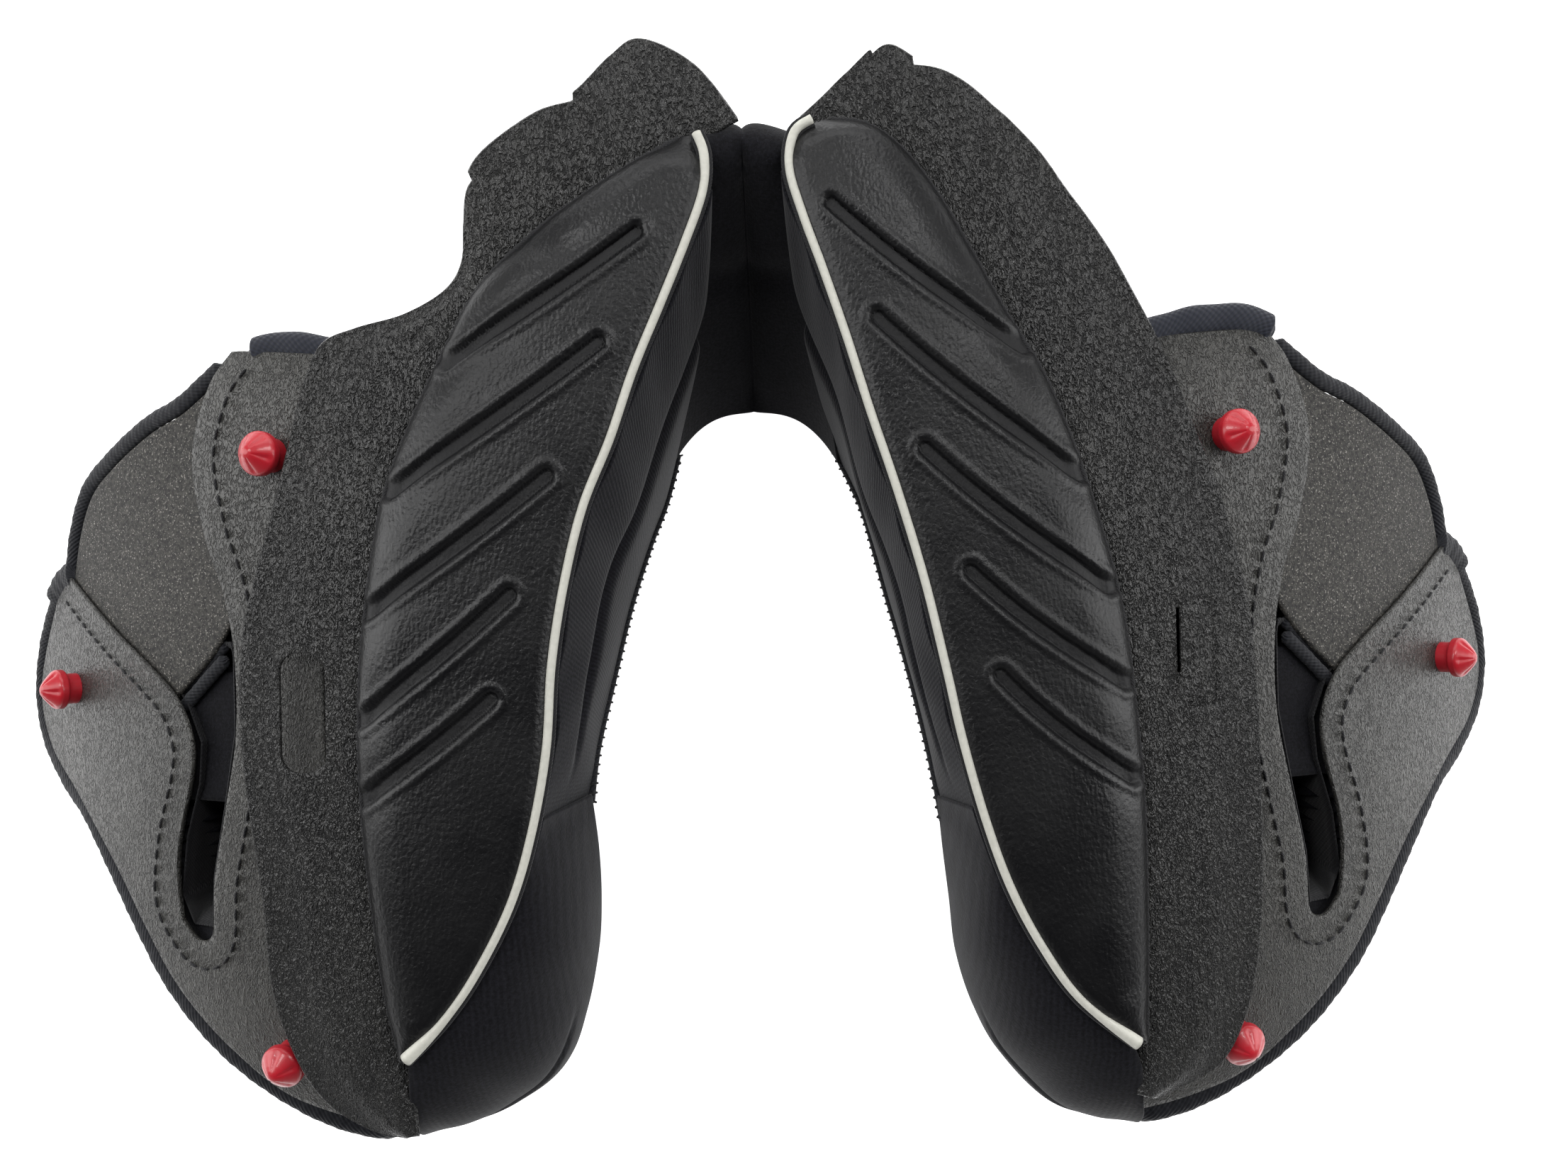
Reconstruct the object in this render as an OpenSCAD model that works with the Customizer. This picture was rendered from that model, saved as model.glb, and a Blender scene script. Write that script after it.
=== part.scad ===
// Comfort liner of a full-face helmet: a left and a right cheek pad joined by
// a folded neck roll. It lies upside down, so its bottom rolls face up.
// Every shape is drawn for the right pad and mirrored for the left one.
// +X runs to the wearer-facing right pad, +Y to the back of the neck, +Z up.

/* [Bottom roll] */
// Height of the inner edge of the leather panels above the table
roll_height = 90; // [86:1:94]
// How far the leather panels dome up between their two edges
roll_crown = 5; // [2:0.5:7]
// Thickness of the leather
leather_thick = 1.2; // [0.8:0.1:1.4]
// Radius of the piping along the inner edge
piping_radius = 1.2; // [0.8:0.1:1.4]

/* [Edge strip] */
// Height of the strip's free edge
strip_height = 82.5; // [82:0.5:84]
// Thickness of the strip
strip_thick = 1.2; // [0.8:0.1:1.4]
// Window in the strip, across and along
window_size = [11, 30]; // [8:1:34]
// Middle of the window
window_place = [110, -24]; // [-30:1:112]

/* [Cheek pad] */
// Height of the backing plate beside the roll
plate_height = 79; // [78:0.5:79]
// Thickness of the backing plate
plate_thick = 1.2; // [1:0.1:1.4]
// Height of the pad's inner face under the roll
belly_height = 50; // [48:1:52]
// Thickness of the knit cover
cover_thick = 1.0; // [0.8:0.1:1.2]

/* [Snap studs] */
// Radius of the stud's neck
neck_radius = 4.4; // [4:0.1:4.6]
// Height of the neck above the plate
neck_height = 3.6; // [3:0.1:4]
// Radius of the mushroom head
head_radius = 5.65; // [5.2:0.05:5.8]
// Length of the head's straight land
land_height = 2; // [1.5:0.1:2.4]
// Height of the head's cone
cone_height = 3.4; // [3:0.1:3.6]
// Radius of the washer under the plate
washer_radius = 7; // [6:0.5:8]

/* [Hidden] */
$fn = 48;
left = -1;
right = 1;

// The origin is the middle of the outline, on the table
origin_shift = [0, 5.86, 0];

// Small gap between neighbouring pieces, and between the two pads
gap = 0.3;
// Gap between the leather and the flap that bends beside it
seam_gap = 0.7;
// Heights where the roll foam sits on the foam below it
roll_base = 58;
foam_top = 57.4;
// The backing plate falls away from a straight spine beside the roll
spine_x = 100;
spine_rear = 45;
spine_front = -95;
plate_slope = 0.2;
plate_curve = 0.0031;
// Depths below the plate's upper face
foam_below_plate = 3.4;
ear_below_plate = 1.6;
ear_thick = 1.5;
pocket_depth = 28;
pocket_floor = 10;
foam_least = 3;

// Guide curves of the right pad, seen from above. Curves with the same number
// of points are matched, point to point.
piping_line = [[11, 107], [14, 91], [20, 74], [28, 51], [37, 26], [45, -4], [50, -32], [56, -60],
    [65, -81], [77, -99], [88, -110.5]];
seam_line = [[17, 112], [35, 102], [51, 87], [69, 61], [82, 32], [91, -3], [94, -37], [94, -69],
    [93, -88], [92, -103], [91, -112]];
roll_inner = [[19, 80], [22, 66], [26.5, 53], [32, 36.5], [38, 16], [43.5, -9], [46.5, -32],
    [49, -58], [52, -88], [60, -119], [86, -139]];
roll_outer = [[24, 103], [38, 95], [54, 82], [70, 58], [84, 31], [93, -3], [96, -37], [97, -68],
    [98, -92], [101, -118], [102.5, -133]];
hem_line = [[26, 36, 17], [28, 31, 19], [30, 26, 22], [32, 19, 27], [35, 7, 35], [39.5, -13, 44],
    [43, -33, 52], [46, -56, 58]];
neck_top_outer = [[33, 90], [41, 80], [47, 66], [53, 47], [59, 24], [62, -4], [59.8, -31], [55.6, -57]];
neck_low_inner = [[29, 39, 19], [31, 34, 21], [33, 29, 24], [35, 21, 29], [38, 8, 37],
    [42.5, -12, 45], [46, -32, 53], [49, -55, 56]];
neck_low_outer = [[42, 56, 18], [46, 50, 20], [49, 43, 23], [52, 33, 28], [55, 18, 36],
    [58, -6, 45], [57, -29, 52], [54, -56, 55]];
lobe_top = [[51.5, -59, 87.5], [60, -82, 87.5], [72.5, -101.5, 87.5], [84.5, -114, 87],
    [90, -121.5, 85], [93, -129, 80]];
lobe_low = [[45, -62, 46], [47.5, -90, 46], [53, -118, 46], [65, -136, 46], [80, -145, 47],
    [96, -146, 50]];
strip_edge_front = [[102, 61], [109, 43], [115, 24], [120.5, 4], [124, -14], [125.5, -36],
    [125.5, -58], [124, -80], [121, -98], [115, -112], [105, -124], [94, -130]];
strip_seam_front = [[70, 58], [76, 45], [83, 28], [88, 9], [92, -10], [94, -32], [94.5, -54],
    [94, -76], [93, -92], [92, -104], [92, -114], [91, -122]];
flap_seam = [[17, 113], [27, 108.5], [36, 102], [45, 94], [53, 85], [60, 75]];
flap_edge_right = [[16, 116], [25, 126], [37, 132.5], [52, 122], [66, 111], [80, 94]];
flap_edge_left = [[3, 116], [11, 127], [26, 134.5], [47, 121], [65, 108], [71, 92]];
plate_inner = [[134, 60], [141, 54], [146.5, 38], [143, 18], [137, 2], [134, -14], [134, -34],
    [138, -54], [142, -72], [143, -86], [147, -89], [152, -86], [157, -78], [155, -63], [150, -48],
    [149, -37], [154, -26], [164, -17.5], [182, -5.5], [201, 8]];
plate_outer = [[99, 56], [100, 48], [103, 34], [104, 16], [106, 0], [108, -16], [108, -36],
    [108, -56], [107.5, -76], [106.5, -100], [101, -134.5], [119, -128], [139, -115.5], [155.5, -101],
    [167, -87.5], [180, -71.5], [198, -54], [214.5, -40], [218, -22], [202, 3]];
arm_rim = [[204, 5], [212.5, -3], [219.5, -14], [222.5, -27], [218, -40.5], [206, -52],
    [194, -60.5], [181, -75], [169, -90], [158, -103], [141.5, -118], [121, -131.5],
    [106.5, -138], [97, -140.5]];
ear_outer = [[135, 60], [150, 50.5], [163, 46], [177.5, 39], [189, 31.5], [196, 20], [200, 6]];
ear_inner = [[131, 56], [137, 44], [139, 32], [136, 18], [132, 4], [141, -12], [158, -27]];
ear_rim = [[138, 62], [151, 53.5], [164, 49], [179.5, 41.5], [192, 33.5], [199, 21.5], [202, 12]];
ear_tape_line = [[139.5, -13.5], [144, -18.5], [150, -23.5]];
wrap_line = [[101, 62.5, 72], [115, 66.5, 69], [129, 68, 65.5], [134, 66, 64.5]];
// The pad's foam, read across at a given y
foam_inner = [[57, 52], [47, 54], [24, 60], [-4, 63], [-31, 61], [-57, 57], [-66, 51],
    [-88, 53], [-119, 61], [-131, 72]];
foam_roll_side = [[57, 72], [31, 86], [-3, 94], [-37, 96.5], [-68, 97.5], [-92, 98.5],
    [-118, 101.5], [-131, 103]];
foam_slot_rear = [[57, 130], [38, 147.5], [18, 144], [2, 138], [-14, 135], [-34, 135],
    [-54, 139], [-72, 143], [-87, 144]];
foam_slot_front = [[8, 199], [-5.5, 181], [-17.5, 163], [-26, 153], [-37, 148], [-48, 149],
    [-63, 154], [-78, 156], [-87, 151]];
foam_rim = [[57, 139], [51, 150], [46, 163], [39, 177], [31, 189], [20, 194], [8, 196], [0, 203],
    [-12, 213], [-27, 218], [-39, 215], [-49, 204], [-58, 192], [-72, 179], [-87, 167],
    [-100, 154], [-115, 138], [-126, 121], [-131, 114]];
foam_stations = [57, 50, 42, 32, 22, 12, 4, -4, -14, -26, -38, -50, -62, -74, -84, -88, -98,
    -108, -118, -126, -131];
slot_stations = [-14, -26, -38, -50, -62, -74, -83];
slot_start = -8;
slot_end = -86;
stud_places = [[121, 37], [199, -24], [120, -116]];
// Middle and side lines of the neck, from the top of the roll down to the hem
neck_front_middle = [[gap, 105, 82], [gap, 84, 50], [gap, 55.5, 15]];
neck_front_side = [[10, 107, 86], [17.4, 79, 57.5], [25.4, 39, 18]];
neck_rear_middle = [[gap, 117, 79], [gap, 108, 50], [gap, 80, 16]];
neck_rear_side = [[15.2, 112, 81], [21.5, 101.5, 57.8], [40, 57.5, 18]];

function lerp(a, b, t) = a + (b - a) * t;

// Point at u from 0 to 1 on a Catmull-Rom curve through points p
function curve_at(p, u) =
    let(last = len(p) - 1, i = min(floor(u * last), last - 1), t = u * last - i,
        a = p[max(i - 1, 0)], b = p[i], c = p[i + 1], d = p[min(i + 2, last)])
    0.5 * (2 * b + (c - a) * t + (2 * a - 5 * b + 4 * c - d) * t * t
        + (3 * b - a - 3 * c + d) * t * t * t);
function curve(p, steps) = [for (i = [0:steps]) curve_at(p, i / steps)];
function lift(p, z) = [for (q = p) [q.x, q.y, z]];
function shift(grid, v) = [for (row = grid) [for (q = row) q + v]];

// Upper face of the backing plate, and the underside of the pad
function spine_distance(x, y) =
    norm([max(x - spine_x, 0), y - min(max(y, spine_front), spine_rear)]);
function plate_z(x, y) = let(r = spine_distance(x, y))
    plate_height - plate_slope * r - plate_curve * r * r;
function belly_z(x, y) = let(front = max(-90 - y, 0), rear = max(y - 20, 0))
    cover_thick + gap + max(0, belly_height - 0.45 * (x - 50)
        + 0.014 * front * front + 0.02 * rear * rear);
function on_plate(p, below = 0) = [for (q = p) [q.x, q.y, plate_z(q.x, q.y) - below]];

// Grid of points ruled between two curves, with a crown in direction v
function ruled(a, b, columns, v = [0, 0, 0]) =
    [for (i = [0:len(a) - 1]) [for (j = [0:columns])
        let(t = j / columns) lerp(a[i], b[i], t) + v * 4 * t * (1 - t)]];

// Closed solid between two grids of the same size
module shell(top, bottom) {
    rows = len(top);
    columns = len(top[0]);
    size = rows * columns;
    points = concat([for (row = top) each row], [for (row = bottom) each row]);
    function at(r, c) = r * columns + c;
    function quad(a, b, c, d) = [[a, b, c], [a, c, d]];
    faces = concat(
        [for (r = [0:rows - 2], c = [0:columns - 2])
            each quad(at(r, c), at(r, c + 1), at(r + 1, c + 1), at(r + 1, c))],
        [for (r = [0:rows - 2], c = [0:columns - 2])
            each quad(size + at(r, c), size + at(r + 1, c), size + at(r + 1, c + 1),
                size + at(r, c + 1))],
        [for (r = [0:rows - 2])
            each quad(at(r, 0), at(r + 1, 0), size + at(r + 1, 0), size + at(r, 0))],
        [for (r = [0:rows - 2])
            each quad(at(r, columns - 1), size + at(r, columns - 1),
                size + at(r + 1, columns - 1), at(r + 1, columns - 1))],
        [for (c = [0:columns - 2])
            each quad(at(0, c), size + at(0, c), size + at(0, c + 1), at(0, c + 1))],
        [for (c = [0:columns - 2])
            each quad(at(rows - 1, c), at(rows - 1, c + 1), size + at(rows - 1, c + 1),
                size + at(rows - 1, c))]);
    polyhedron(points = points, faces = faces, convexity = 8);
}

// Round tube of 8 sides along a path
module tube(path, radius) {
    last = len(path) - 1;
    sides = 8;
    rings = [for (i = [0:last])
        let(d = path[min(i + 1, last)] - path[max(i - 1, 0)],
            along = d / norm(d),
            side = cross(along, [0, 0, 1]) / norm(cross(along, [0, 0, 1])),
            up = cross(side, along))
        for (k = [0:sides - 1])
            path[i] + radius * (cos(k * 360 / sides) * side + sin(k * 360 / sides) * up)];
    faces = concat(
        [[for (k = [sides - 1:-1:0]) k]],
        [for (i = [0:last - 1], k = [0:sides - 1])
            let(a = i * sides + k, b = i * sides + (k + 1) % sides)
            each [[a, b, a + sides], [b, b + sides, a + sides]]],
        [[for (k = [0:sides - 1]) last * sides + k]]);
    polyhedron(points = rings, faces = faces, convexity = 8);
}

module on_side(side)
    translate(origin_shift)
        mirror([side < 0 ? 1 : 0, 0, 0]) children();

// Stands its children on the plate at p, square to its slope
module on_plate_at(p) {
    step = 0.5;
    tilt_x = (plate_z(p.x - step, p.y) - plate_z(p.x + step, p.y)) / (2 * step);
    tilt_y = (plate_z(p.x, p.y - step) - plate_z(p.x, p.y + step)) / (2 * step);
    translate([p.x, p.y, plate_z(p.x, p.y)])
        rotate([0, atan(norm([tilt_x, tilt_y])), atan2(tilt_y, tilt_x)]) children();
}

// ---- bottom roll ----
function roll_face(columns, below) =
    let(a = lift(curve(piping_line, 30), roll_height - below),
        b = lift(curve(seam_line, 30), roll_height - 5 - below),
        face = ruled(a, b, columns, [0, 0, roll_crown]))
    face;

module leather_panel(side) {
    face = roll_face(6, 0);
    color("#1b1b1c") on_side(side) shell(face, shift(face, [0, 0, -leather_thick]));
}

module piping(side)
    color("#c9c9c0") on_side(side)
        tube([for (q = curve(piping_line, 30))
            [q.x - piping_radius - gap, q.y - gap, roll_height - 0.4]], piping_radius);

module roll_foam(side) {
    base = ruled(lift(curve(roll_inner, 30), roll_base), lift(curve(roll_outer, 30), roll_base), 4);
    color("#b9b7ae") on_side(side) shell(roll_face(4, leather_thick + 2 * gap), base);
}

module inner_wall(side) {
    top = curve([for (i = [0:7]) [piping_line[i].x - 2.6, piping_line[i].y - 1, roll_height - 2.2]], 20);
    face = ruled(top, curve(hem_line, 20), 4);
    color("#17171d") on_side(side) shell(shift(face, [cover_thick, 0.5, 0]), face);
}

module wall_hem(side)
    color("#101015") on_side(side)
        tube([for (q = curve(hem_line, 20)) q + [-0.3, -0.3, -1.6]], 1.2);

module lobe_cover(side) {
    face = ruled(curve(lobe_top, 20), curve(lobe_low, 20), 4, [-3, -3, 0]);
    color("#17171d") on_side(side) shell(shift(face, [cover_thick, cover_thick, 0]), face);
}

// ---- edge strips ----
module rear_flap(side) {
    edge = side < 0 ? flap_edge_left : flap_edge_right;
    seam = [for (q = curve(flap_seam, 14)) [q.x + seam_gap, q.y + seam_gap, roll_height - 5]];
    face = ruled(seam, lift(curve(edge, 14), strip_height + 1), 4);
    color("#2a2a29") on_side(side) shell(face, shift(face, [0, 0, -strip_thick]));
}

module edge_strip(side) {
    face = ruled([for (q = curve(strip_seam_front, 24)) [q.x + 1.5, q.y, roll_height - 5.2]],
        lift(curve(strip_edge_front, 24), strip_height), 4);
    color("#2a2a29") on_side(side) difference() {
        shell(face, shift(face, [0, 0, -strip_thick]));
        translate([window_place.x, window_place.y, strip_height - 5])
            linear_extrude(10) window_outline();
    }
}

module window_outline()
    for (end = [-1, 1]) {
        translate([0, end * (window_size.y - window_size.x) / 2]) circle(d = window_size.x);
        square([window_size.x, window_size.y - window_size.x], center = true);
    }

// ---- backing plate, studs and ear panel ----
module backing_plate(side) {
    inner = curve(plate_inner, 38);
    outer = curve(plate_outer, 38);
    face = [for (row = ruled(inner, outer, 5)) on_plate(row)];
    color("#5a5852") on_side(side) difference() {
        shell(shift(face, [0, 0, -plate_thick]), face);
        for (p = stud_places)
            on_plate_at(p) cylinder(h = 12, r = neck_radius + gap, center = true);
    }
}

module stud()
    rotate_extrude()
        polygon([[0, -plate_thick - gap], [neck_radius, -plate_thick - gap],
            [neck_radius, neck_height], [head_radius, neck_height],
            [head_radius, neck_height + land_height], [1, neck_height + land_height + cone_height],
            [0, neck_height + land_height + cone_height]]);

module snap_studs(side)
    color("#d8303c") on_side(side)
        for (p = stud_places) on_plate_at(p) stud();

module stud_washers(side)
    color("#c8c8c4") on_side(side)
        for (p = stud_places)
            on_plate_at(p) translate([0, 0, -plate_thick - 1.75])
                cylinder(h = 1, r = washer_radius);

module ear_panel(side) {
    face = [for (row = ruled(curve(ear_outer, 16), curve(ear_inner, 16), 6))
        on_plate(row, ear_below_plate)];
    color("#3a3835") on_side(side) shell(shift(face, [0, 0, -ear_thick]), face);
}

module ear_binding(side)
    color("#14161f") on_side(side) tube(on_plate(curve(ear_rim, 18), 2.2), 1.9);

module ear_tape(side)
    color("#14161f") on_side(side) tube(on_plate(curve(ear_tape_line, 6), 3.6), 1.6);

module arm_binding(side)
    color("#14161f") on_side(side) tube(on_plate(curve(arm_rim, 36), 2.4), 2.4);

module top_wrap(side)
    color("#14161f") on_side(side) tube(curve(wrap_line, 8), 3.2);

// ---- foam and covers of the cheek pad ----
// Floor of the strap slot, cut down into the foam
function pocket_z(x, y) =
    let(top = plate_z(x, y) - foam_below_plate)
    y < slot_end || y > slot_start ? top
    : min(top, max(belly_z(x, y) + pocket_floor, top - pocket_depth));

function foam_columns(y) =
    let(rim = lookup(y, foam_rim),
        rear = min(lookup(y, foam_slot_rear), rim - 8),
        front = y > 8 ? rim - 5 : min(lookup(y, foam_slot_front), rim - 3))
    [lookup(y, foam_inner), lookup(y, foam_roll_side), lookup(y, foam_roll_side) + 2,
        (lookup(y, foam_roll_side) + 2 + rear) / 2, rear, rear + 1.5, (rear + front) / 2,
        front - 1.5, front, (front + rim) / 2, rim];

// Upper and lower face of the foam at column i of the row at y
function foam_upper(i, x, y) = i < 2 ? foam_top : i > 4 && i < 8 ? pocket_z(x, y)
    : plate_z(x, y) - foam_below_plate;
function foam_lower(i, x, y) = min(belly_z(x, y), foam_upper(i, x, y) - foam_least);
function foam_face(upper) = [for (y = foam_stations) let(x = foam_columns(y))
    [for (i = [0:10]) [x[i], y, upper ? foam_upper(i, x[i], y) : foam_lower(i, x[i], y)]]];

module cheek_foam(side)
    color("#b9b7ae") on_side(side) shell(foam_face(true), foam_face(false));

module cheek_cover(side) {
    face = shift(foam_face(false), [0, 0, -gap]);
    color("#17171d") on_side(side) shell(face, shift(face, [0, 0, -cover_thick]));
}

// Trough of cloth that hangs in the strap slot
module strap_lining(side) {
    function row(y, wall, rise) =
        let(rear = lookup(y, foam_slot_rear), front = lookup(y, foam_slot_front),
            middle = (rear + front) / 2)
        [[rear + wall, y, plate_z(rear, y) - 4.5],
            [rear + wall + 0.6, y, pocket_z(rear + 1.5, y) + rise],
            [middle, y, pocket_z(middle, y) + rise],
            [front - wall - 0.6, y, pocket_z(front - 1.5, y) + rise],
            [front - wall, y, plate_z(front, y) - 4.5]];
    color("#101015") on_side(side)
        shell([for (y = slot_stations) row(y, 2.9, 1.9)], [for (y = slot_stations) row(y, 2.2, 1.1)]);
}

// ---- neck roll ----
module neck_foam(side) {
    top = ruled(lift(curve([for (i = [0:7]) roll_inner[i]], 14), foam_top),
        lift(curve(neck_top_outer, 14), foam_top), 3);
    low = ruled(curve(neck_low_inner, 14), curve(neck_low_outer, 14), 3);
    color("#b9b7ae") on_side(side) shell(top, low);
}

// Sheet across half of the neck, from its middle line to its side line
function neck_grid(middle, edge, arch) =
    let(a = curve(middle, 10), b = curve(edge, 10))
    [for (i = [0:10]) [for (j = [0:5])
        let(t = j / 5) [lerp(a[i].x, b[i].x, t), lerp(a[i].y, b[i].y, pow(t, arch)),
            lerp(a[i].z, b[i].z, t)]]];

module neck_pad(side)
    color("#b9b7ae") on_side(side)
        shell(neck_grid(neck_front_middle, neck_front_side, 2),
            neck_grid(neck_rear_middle, neck_rear_side, 1.4));

module neck_bridge(side) {
    face = shift(neck_grid(neck_front_middle, neck_front_side, 2), [0, -2, 0]);
    color("#17171d") on_side(side) shell(face, shift(face, [0, 1.4, 0]));
}

module neck_back(side) {
    a = curve([for (i = [0:3]) [seam_line[i].x + 1, seam_line[i].y + 1, roll_height - 8]], 8);
    b = curve([for (i = [0:3]) [roll_outer[i].x + 1, roll_outer[i].y + 3, foam_top]], 8);
    c = curve([for (i = [0:3]) neck_low_outer[i] + [2.5, 3.5, 0]], 8);
    face = [for (i = [0:8]) [a[i], b[i], lerp(b[i], c[i], 0.5), c[i]]];
    color("#17171d") on_side(side) shell(shift(face, [cover_thick, cover_thick, 0]), face);
}

leather_panel(left);  // leather_panel_left
leather_panel(right);  // leather_panel_right
piping(left);  // piping_left
piping(right);  // piping_right
roll_foam(left);  // roll_foam_left
roll_foam(right);  // roll_foam_right
inner_wall(left);  // inner_wall_left
inner_wall(right);  // inner_wall_right
wall_hem(left);  // wall_hem_left
wall_hem(right);  // wall_hem_right
lobe_cover(left);  // lobe_cover_left
lobe_cover(right);  // lobe_cover_right
rear_flap(left);  // rear_flap_left
rear_flap(right);  // rear_flap_right
edge_strip(left);  // edge_strip_left
edge_strip(right);  // edge_strip_right
backing_plate(left);  // backing_plate_left
backing_plate(right);  // backing_plate_right
snap_studs(left);  // snap_studs_left
snap_studs(right);  // snap_studs_right
stud_washers(left);  // stud_washers_left
stud_washers(right);  // stud_washers_right
ear_panel(left);  // ear_panel_left
ear_panel(right);  // ear_panel_right
ear_binding(left);  // ear_binding_left
ear_binding(right);  // ear_binding_right
ear_tape(left);  // ear_tape_left
ear_tape(right);  // ear_tape_right
arm_binding(left);  // arm_binding_left
arm_binding(right);  // arm_binding_right
top_wrap(left);  // top_wrap_left
top_wrap(right);  // top_wrap_right
strap_lining(left);  // strap_lining_left
strap_lining(right);  // strap_lining_right
cheek_foam(left);  // cheek_foam_left
cheek_foam(right);  // cheek_foam_right
cheek_cover(left);  // cheek_cover_left
cheek_cover(right);  // cheek_cover_right
neck_foam(left);  // neck_foam_left
neck_foam(right);  // neck_foam_right
neck_pad(left);  // neck_pad_left
neck_pad(right);  // neck_pad_right
neck_bridge(left);  // neck_bridge_left
neck_bridge(right);  // neck_bridge_right
neck_back(left);  // neck_back_left
neck_back(right);  // neck_back_right
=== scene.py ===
# %% [markdown]
# # The comfort liner of a full-face helmet
# The liner lies upside down on a table: two cheek pads, a left and a right one, joined at
# the back by a folded neck roll. Each pad has a leather-faced bottom roll with white piping,
# a flexible edge strip, a backing plate with red snap studs, an ear panel and bound edges.
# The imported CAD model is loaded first, because every piece below is placed by its frame.

import bpy
import numpy as np
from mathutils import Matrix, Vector


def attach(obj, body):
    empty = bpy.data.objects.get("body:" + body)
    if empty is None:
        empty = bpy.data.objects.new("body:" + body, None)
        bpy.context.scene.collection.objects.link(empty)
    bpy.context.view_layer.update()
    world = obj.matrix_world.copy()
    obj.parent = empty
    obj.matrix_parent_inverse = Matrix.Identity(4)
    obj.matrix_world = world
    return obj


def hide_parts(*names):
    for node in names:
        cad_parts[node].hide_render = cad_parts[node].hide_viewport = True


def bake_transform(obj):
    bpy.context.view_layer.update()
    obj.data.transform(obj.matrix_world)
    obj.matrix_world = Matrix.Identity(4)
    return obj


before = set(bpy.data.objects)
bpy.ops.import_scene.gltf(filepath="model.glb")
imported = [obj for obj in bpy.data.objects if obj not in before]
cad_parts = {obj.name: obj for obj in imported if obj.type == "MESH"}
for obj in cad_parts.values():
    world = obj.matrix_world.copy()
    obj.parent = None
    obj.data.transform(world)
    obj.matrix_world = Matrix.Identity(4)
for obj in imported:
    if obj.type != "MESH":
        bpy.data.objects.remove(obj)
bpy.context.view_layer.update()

# %% [markdown]
# The pads are drawn as a right pad in millimetres about their own centre line, and mirrored
# for the left pad. The frame's origin is the middle of the whole outline, so every point
# moves back by a small shift.

# %% Units and sides
MM = 0.001
PAD_SHIFT = 5.86
SIDES = ("left", "right")
SIGN = {"left": -1.0, "right": 1.0}


def in_frame(points, side):
    """Design millimetres to the frame's metres: mirrored for the left pad, then shifted."""
    return (np.asarray(points, float) * [SIGN[side], 1, 1] + [0, PAD_SHIFT, 0]) * MM


# %% [markdown]
# ## Camera
# The liner is seen from straight above at arm's length through a fairly wide lens, so the
# low outer rims look smaller than the high rolls. The camera comes first, because its
# distance decides how much fine detail each surface needs.

# %% Camera
CAMERA_PLACE = (7.9, 0.45, 372.0)
CAMERA_TURN = -1.31
LENS = 27.02

camera_data = bpy.data.cameras.new("camera")
camera_data.lens = LENS
camera_data.sensor_width = 36.0
camera = bpy.data.objects.new("camera", camera_data)
camera.location = in_frame(CAMERA_PLACE, "right")
camera.rotation_euler = (0, 0, np.radians(CAMERA_TURN))
bpy.context.scene.collection.objects.link(camera)
bpy.context.scene.camera = camera
print("camera", CAMERA_PLACE[2], "mm above the table")

# %% [markdown]
# ## Light
# Black satin shows its form only by what it reflects. The sky is dim straight above and
# bright towards the horizon, so flat tops stay dark while edges that roll outwards catch a
# broad sheen. Two long soft boxes at the sides and one behind make that sheen brighter, and
# two small high ones lay a soft gleam on the rear lobes and the rear half of the rolls.

# %% World and soft boxes
SKY_TOP = (0.045, 0.045, 0.048, 1)
SKY_EDGE = (1.0, 1.0, 1.0, 1)
SKY_TOP_FROM = 0.62
SKY_STRENGTH = 0.5
LAMP_AIM = (0, 0, 0.06)
LAMPS = (
    ("box_left", (-0.9, 0.15, 0.55), (0.5, 1.1), 6.0),
    ("box_right", (0.9, 0.10, 0.55), (0.5, 1.1), 6.0),
    ("box_back", (0.0, 0.95, 0.60), (1.2, 0.5), 5.0),
    ("window_left", (-0.46, 0.40, 1.10), (0.20, 0.26), 3.0),
    ("window_right", (0.34, 0.48, 1.10), (0.20, 0.26), 3.0),
)

world = bpy.data.worlds.new("studio")
bpy.context.scene.world = world
world.use_nodes = True
sky = world.node_tree
background = sky.nodes["Background"]
sky_place = sky.nodes.new("ShaderNodeTexCoord")
sky_split = sky.nodes.new("ShaderNodeSeparateXYZ")
sky_ramp = sky.nodes.new("ShaderNodeValToRGB")
sky_ramp.color_ramp.elements[0].color = SKY_EDGE
sky_ramp.color_ramp.elements[1].color = SKY_TOP
sky_ramp.color_ramp.elements[1].position = SKY_TOP_FROM
sky.links.new(sky_place.outputs["Generated"], sky_split.inputs[0])
sky.links.new(sky_split.outputs["Z"], sky_ramp.inputs["Fac"])
sky.links.new(sky_ramp.outputs["Color"], background.inputs["Color"])
background.inputs["Strength"].default_value = SKY_STRENGTH


def soft_box(name, place, size, power):
    """A rectangular area light at a place, turned towards the object."""
    data = bpy.data.lights.new(name, "AREA")
    data.shape = "RECTANGLE"
    data.size, data.size_y = size
    data.energy = power
    lamp = bpy.data.objects.new(name, data)
    lamp.location = place
    aim_line = np.array(LAMP_AIM) - np.array(place)
    lamp.rotation_euler = Vector(aim_line).to_track_quat("-Z", "Y").to_euler()
    bpy.context.scene.collection.objects.link(lamp)


for lamp_values in LAMPS:
    soft_box(*lamp_values)
bpy.context.scene.view_settings.view_transform = "Standard"
print("lights:", len(LAMPS))

# %% [markdown]
# The floor is a plain pale sheet just under the liner. It isn't part of the object. It glows a
# little, like a lit table, so that it stays white between the pads.

# %% Floor
floor_mesh = bpy.data.meshes.new("floor")
FLOOR_HALF = 3.0
floor_mesh.from_pydata(
    [(x * FLOOR_HALF, y * FLOOR_HALF, 0) for x, y in ((-1, -1), (1, -1), (1, 1), (-1, 1))],
    [],
    [(0, 1, 2, 3)],
)
floor = bpy.data.objects.new("floor", floor_mesh)
bpy.context.scene.collection.objects.link(floor)

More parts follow.
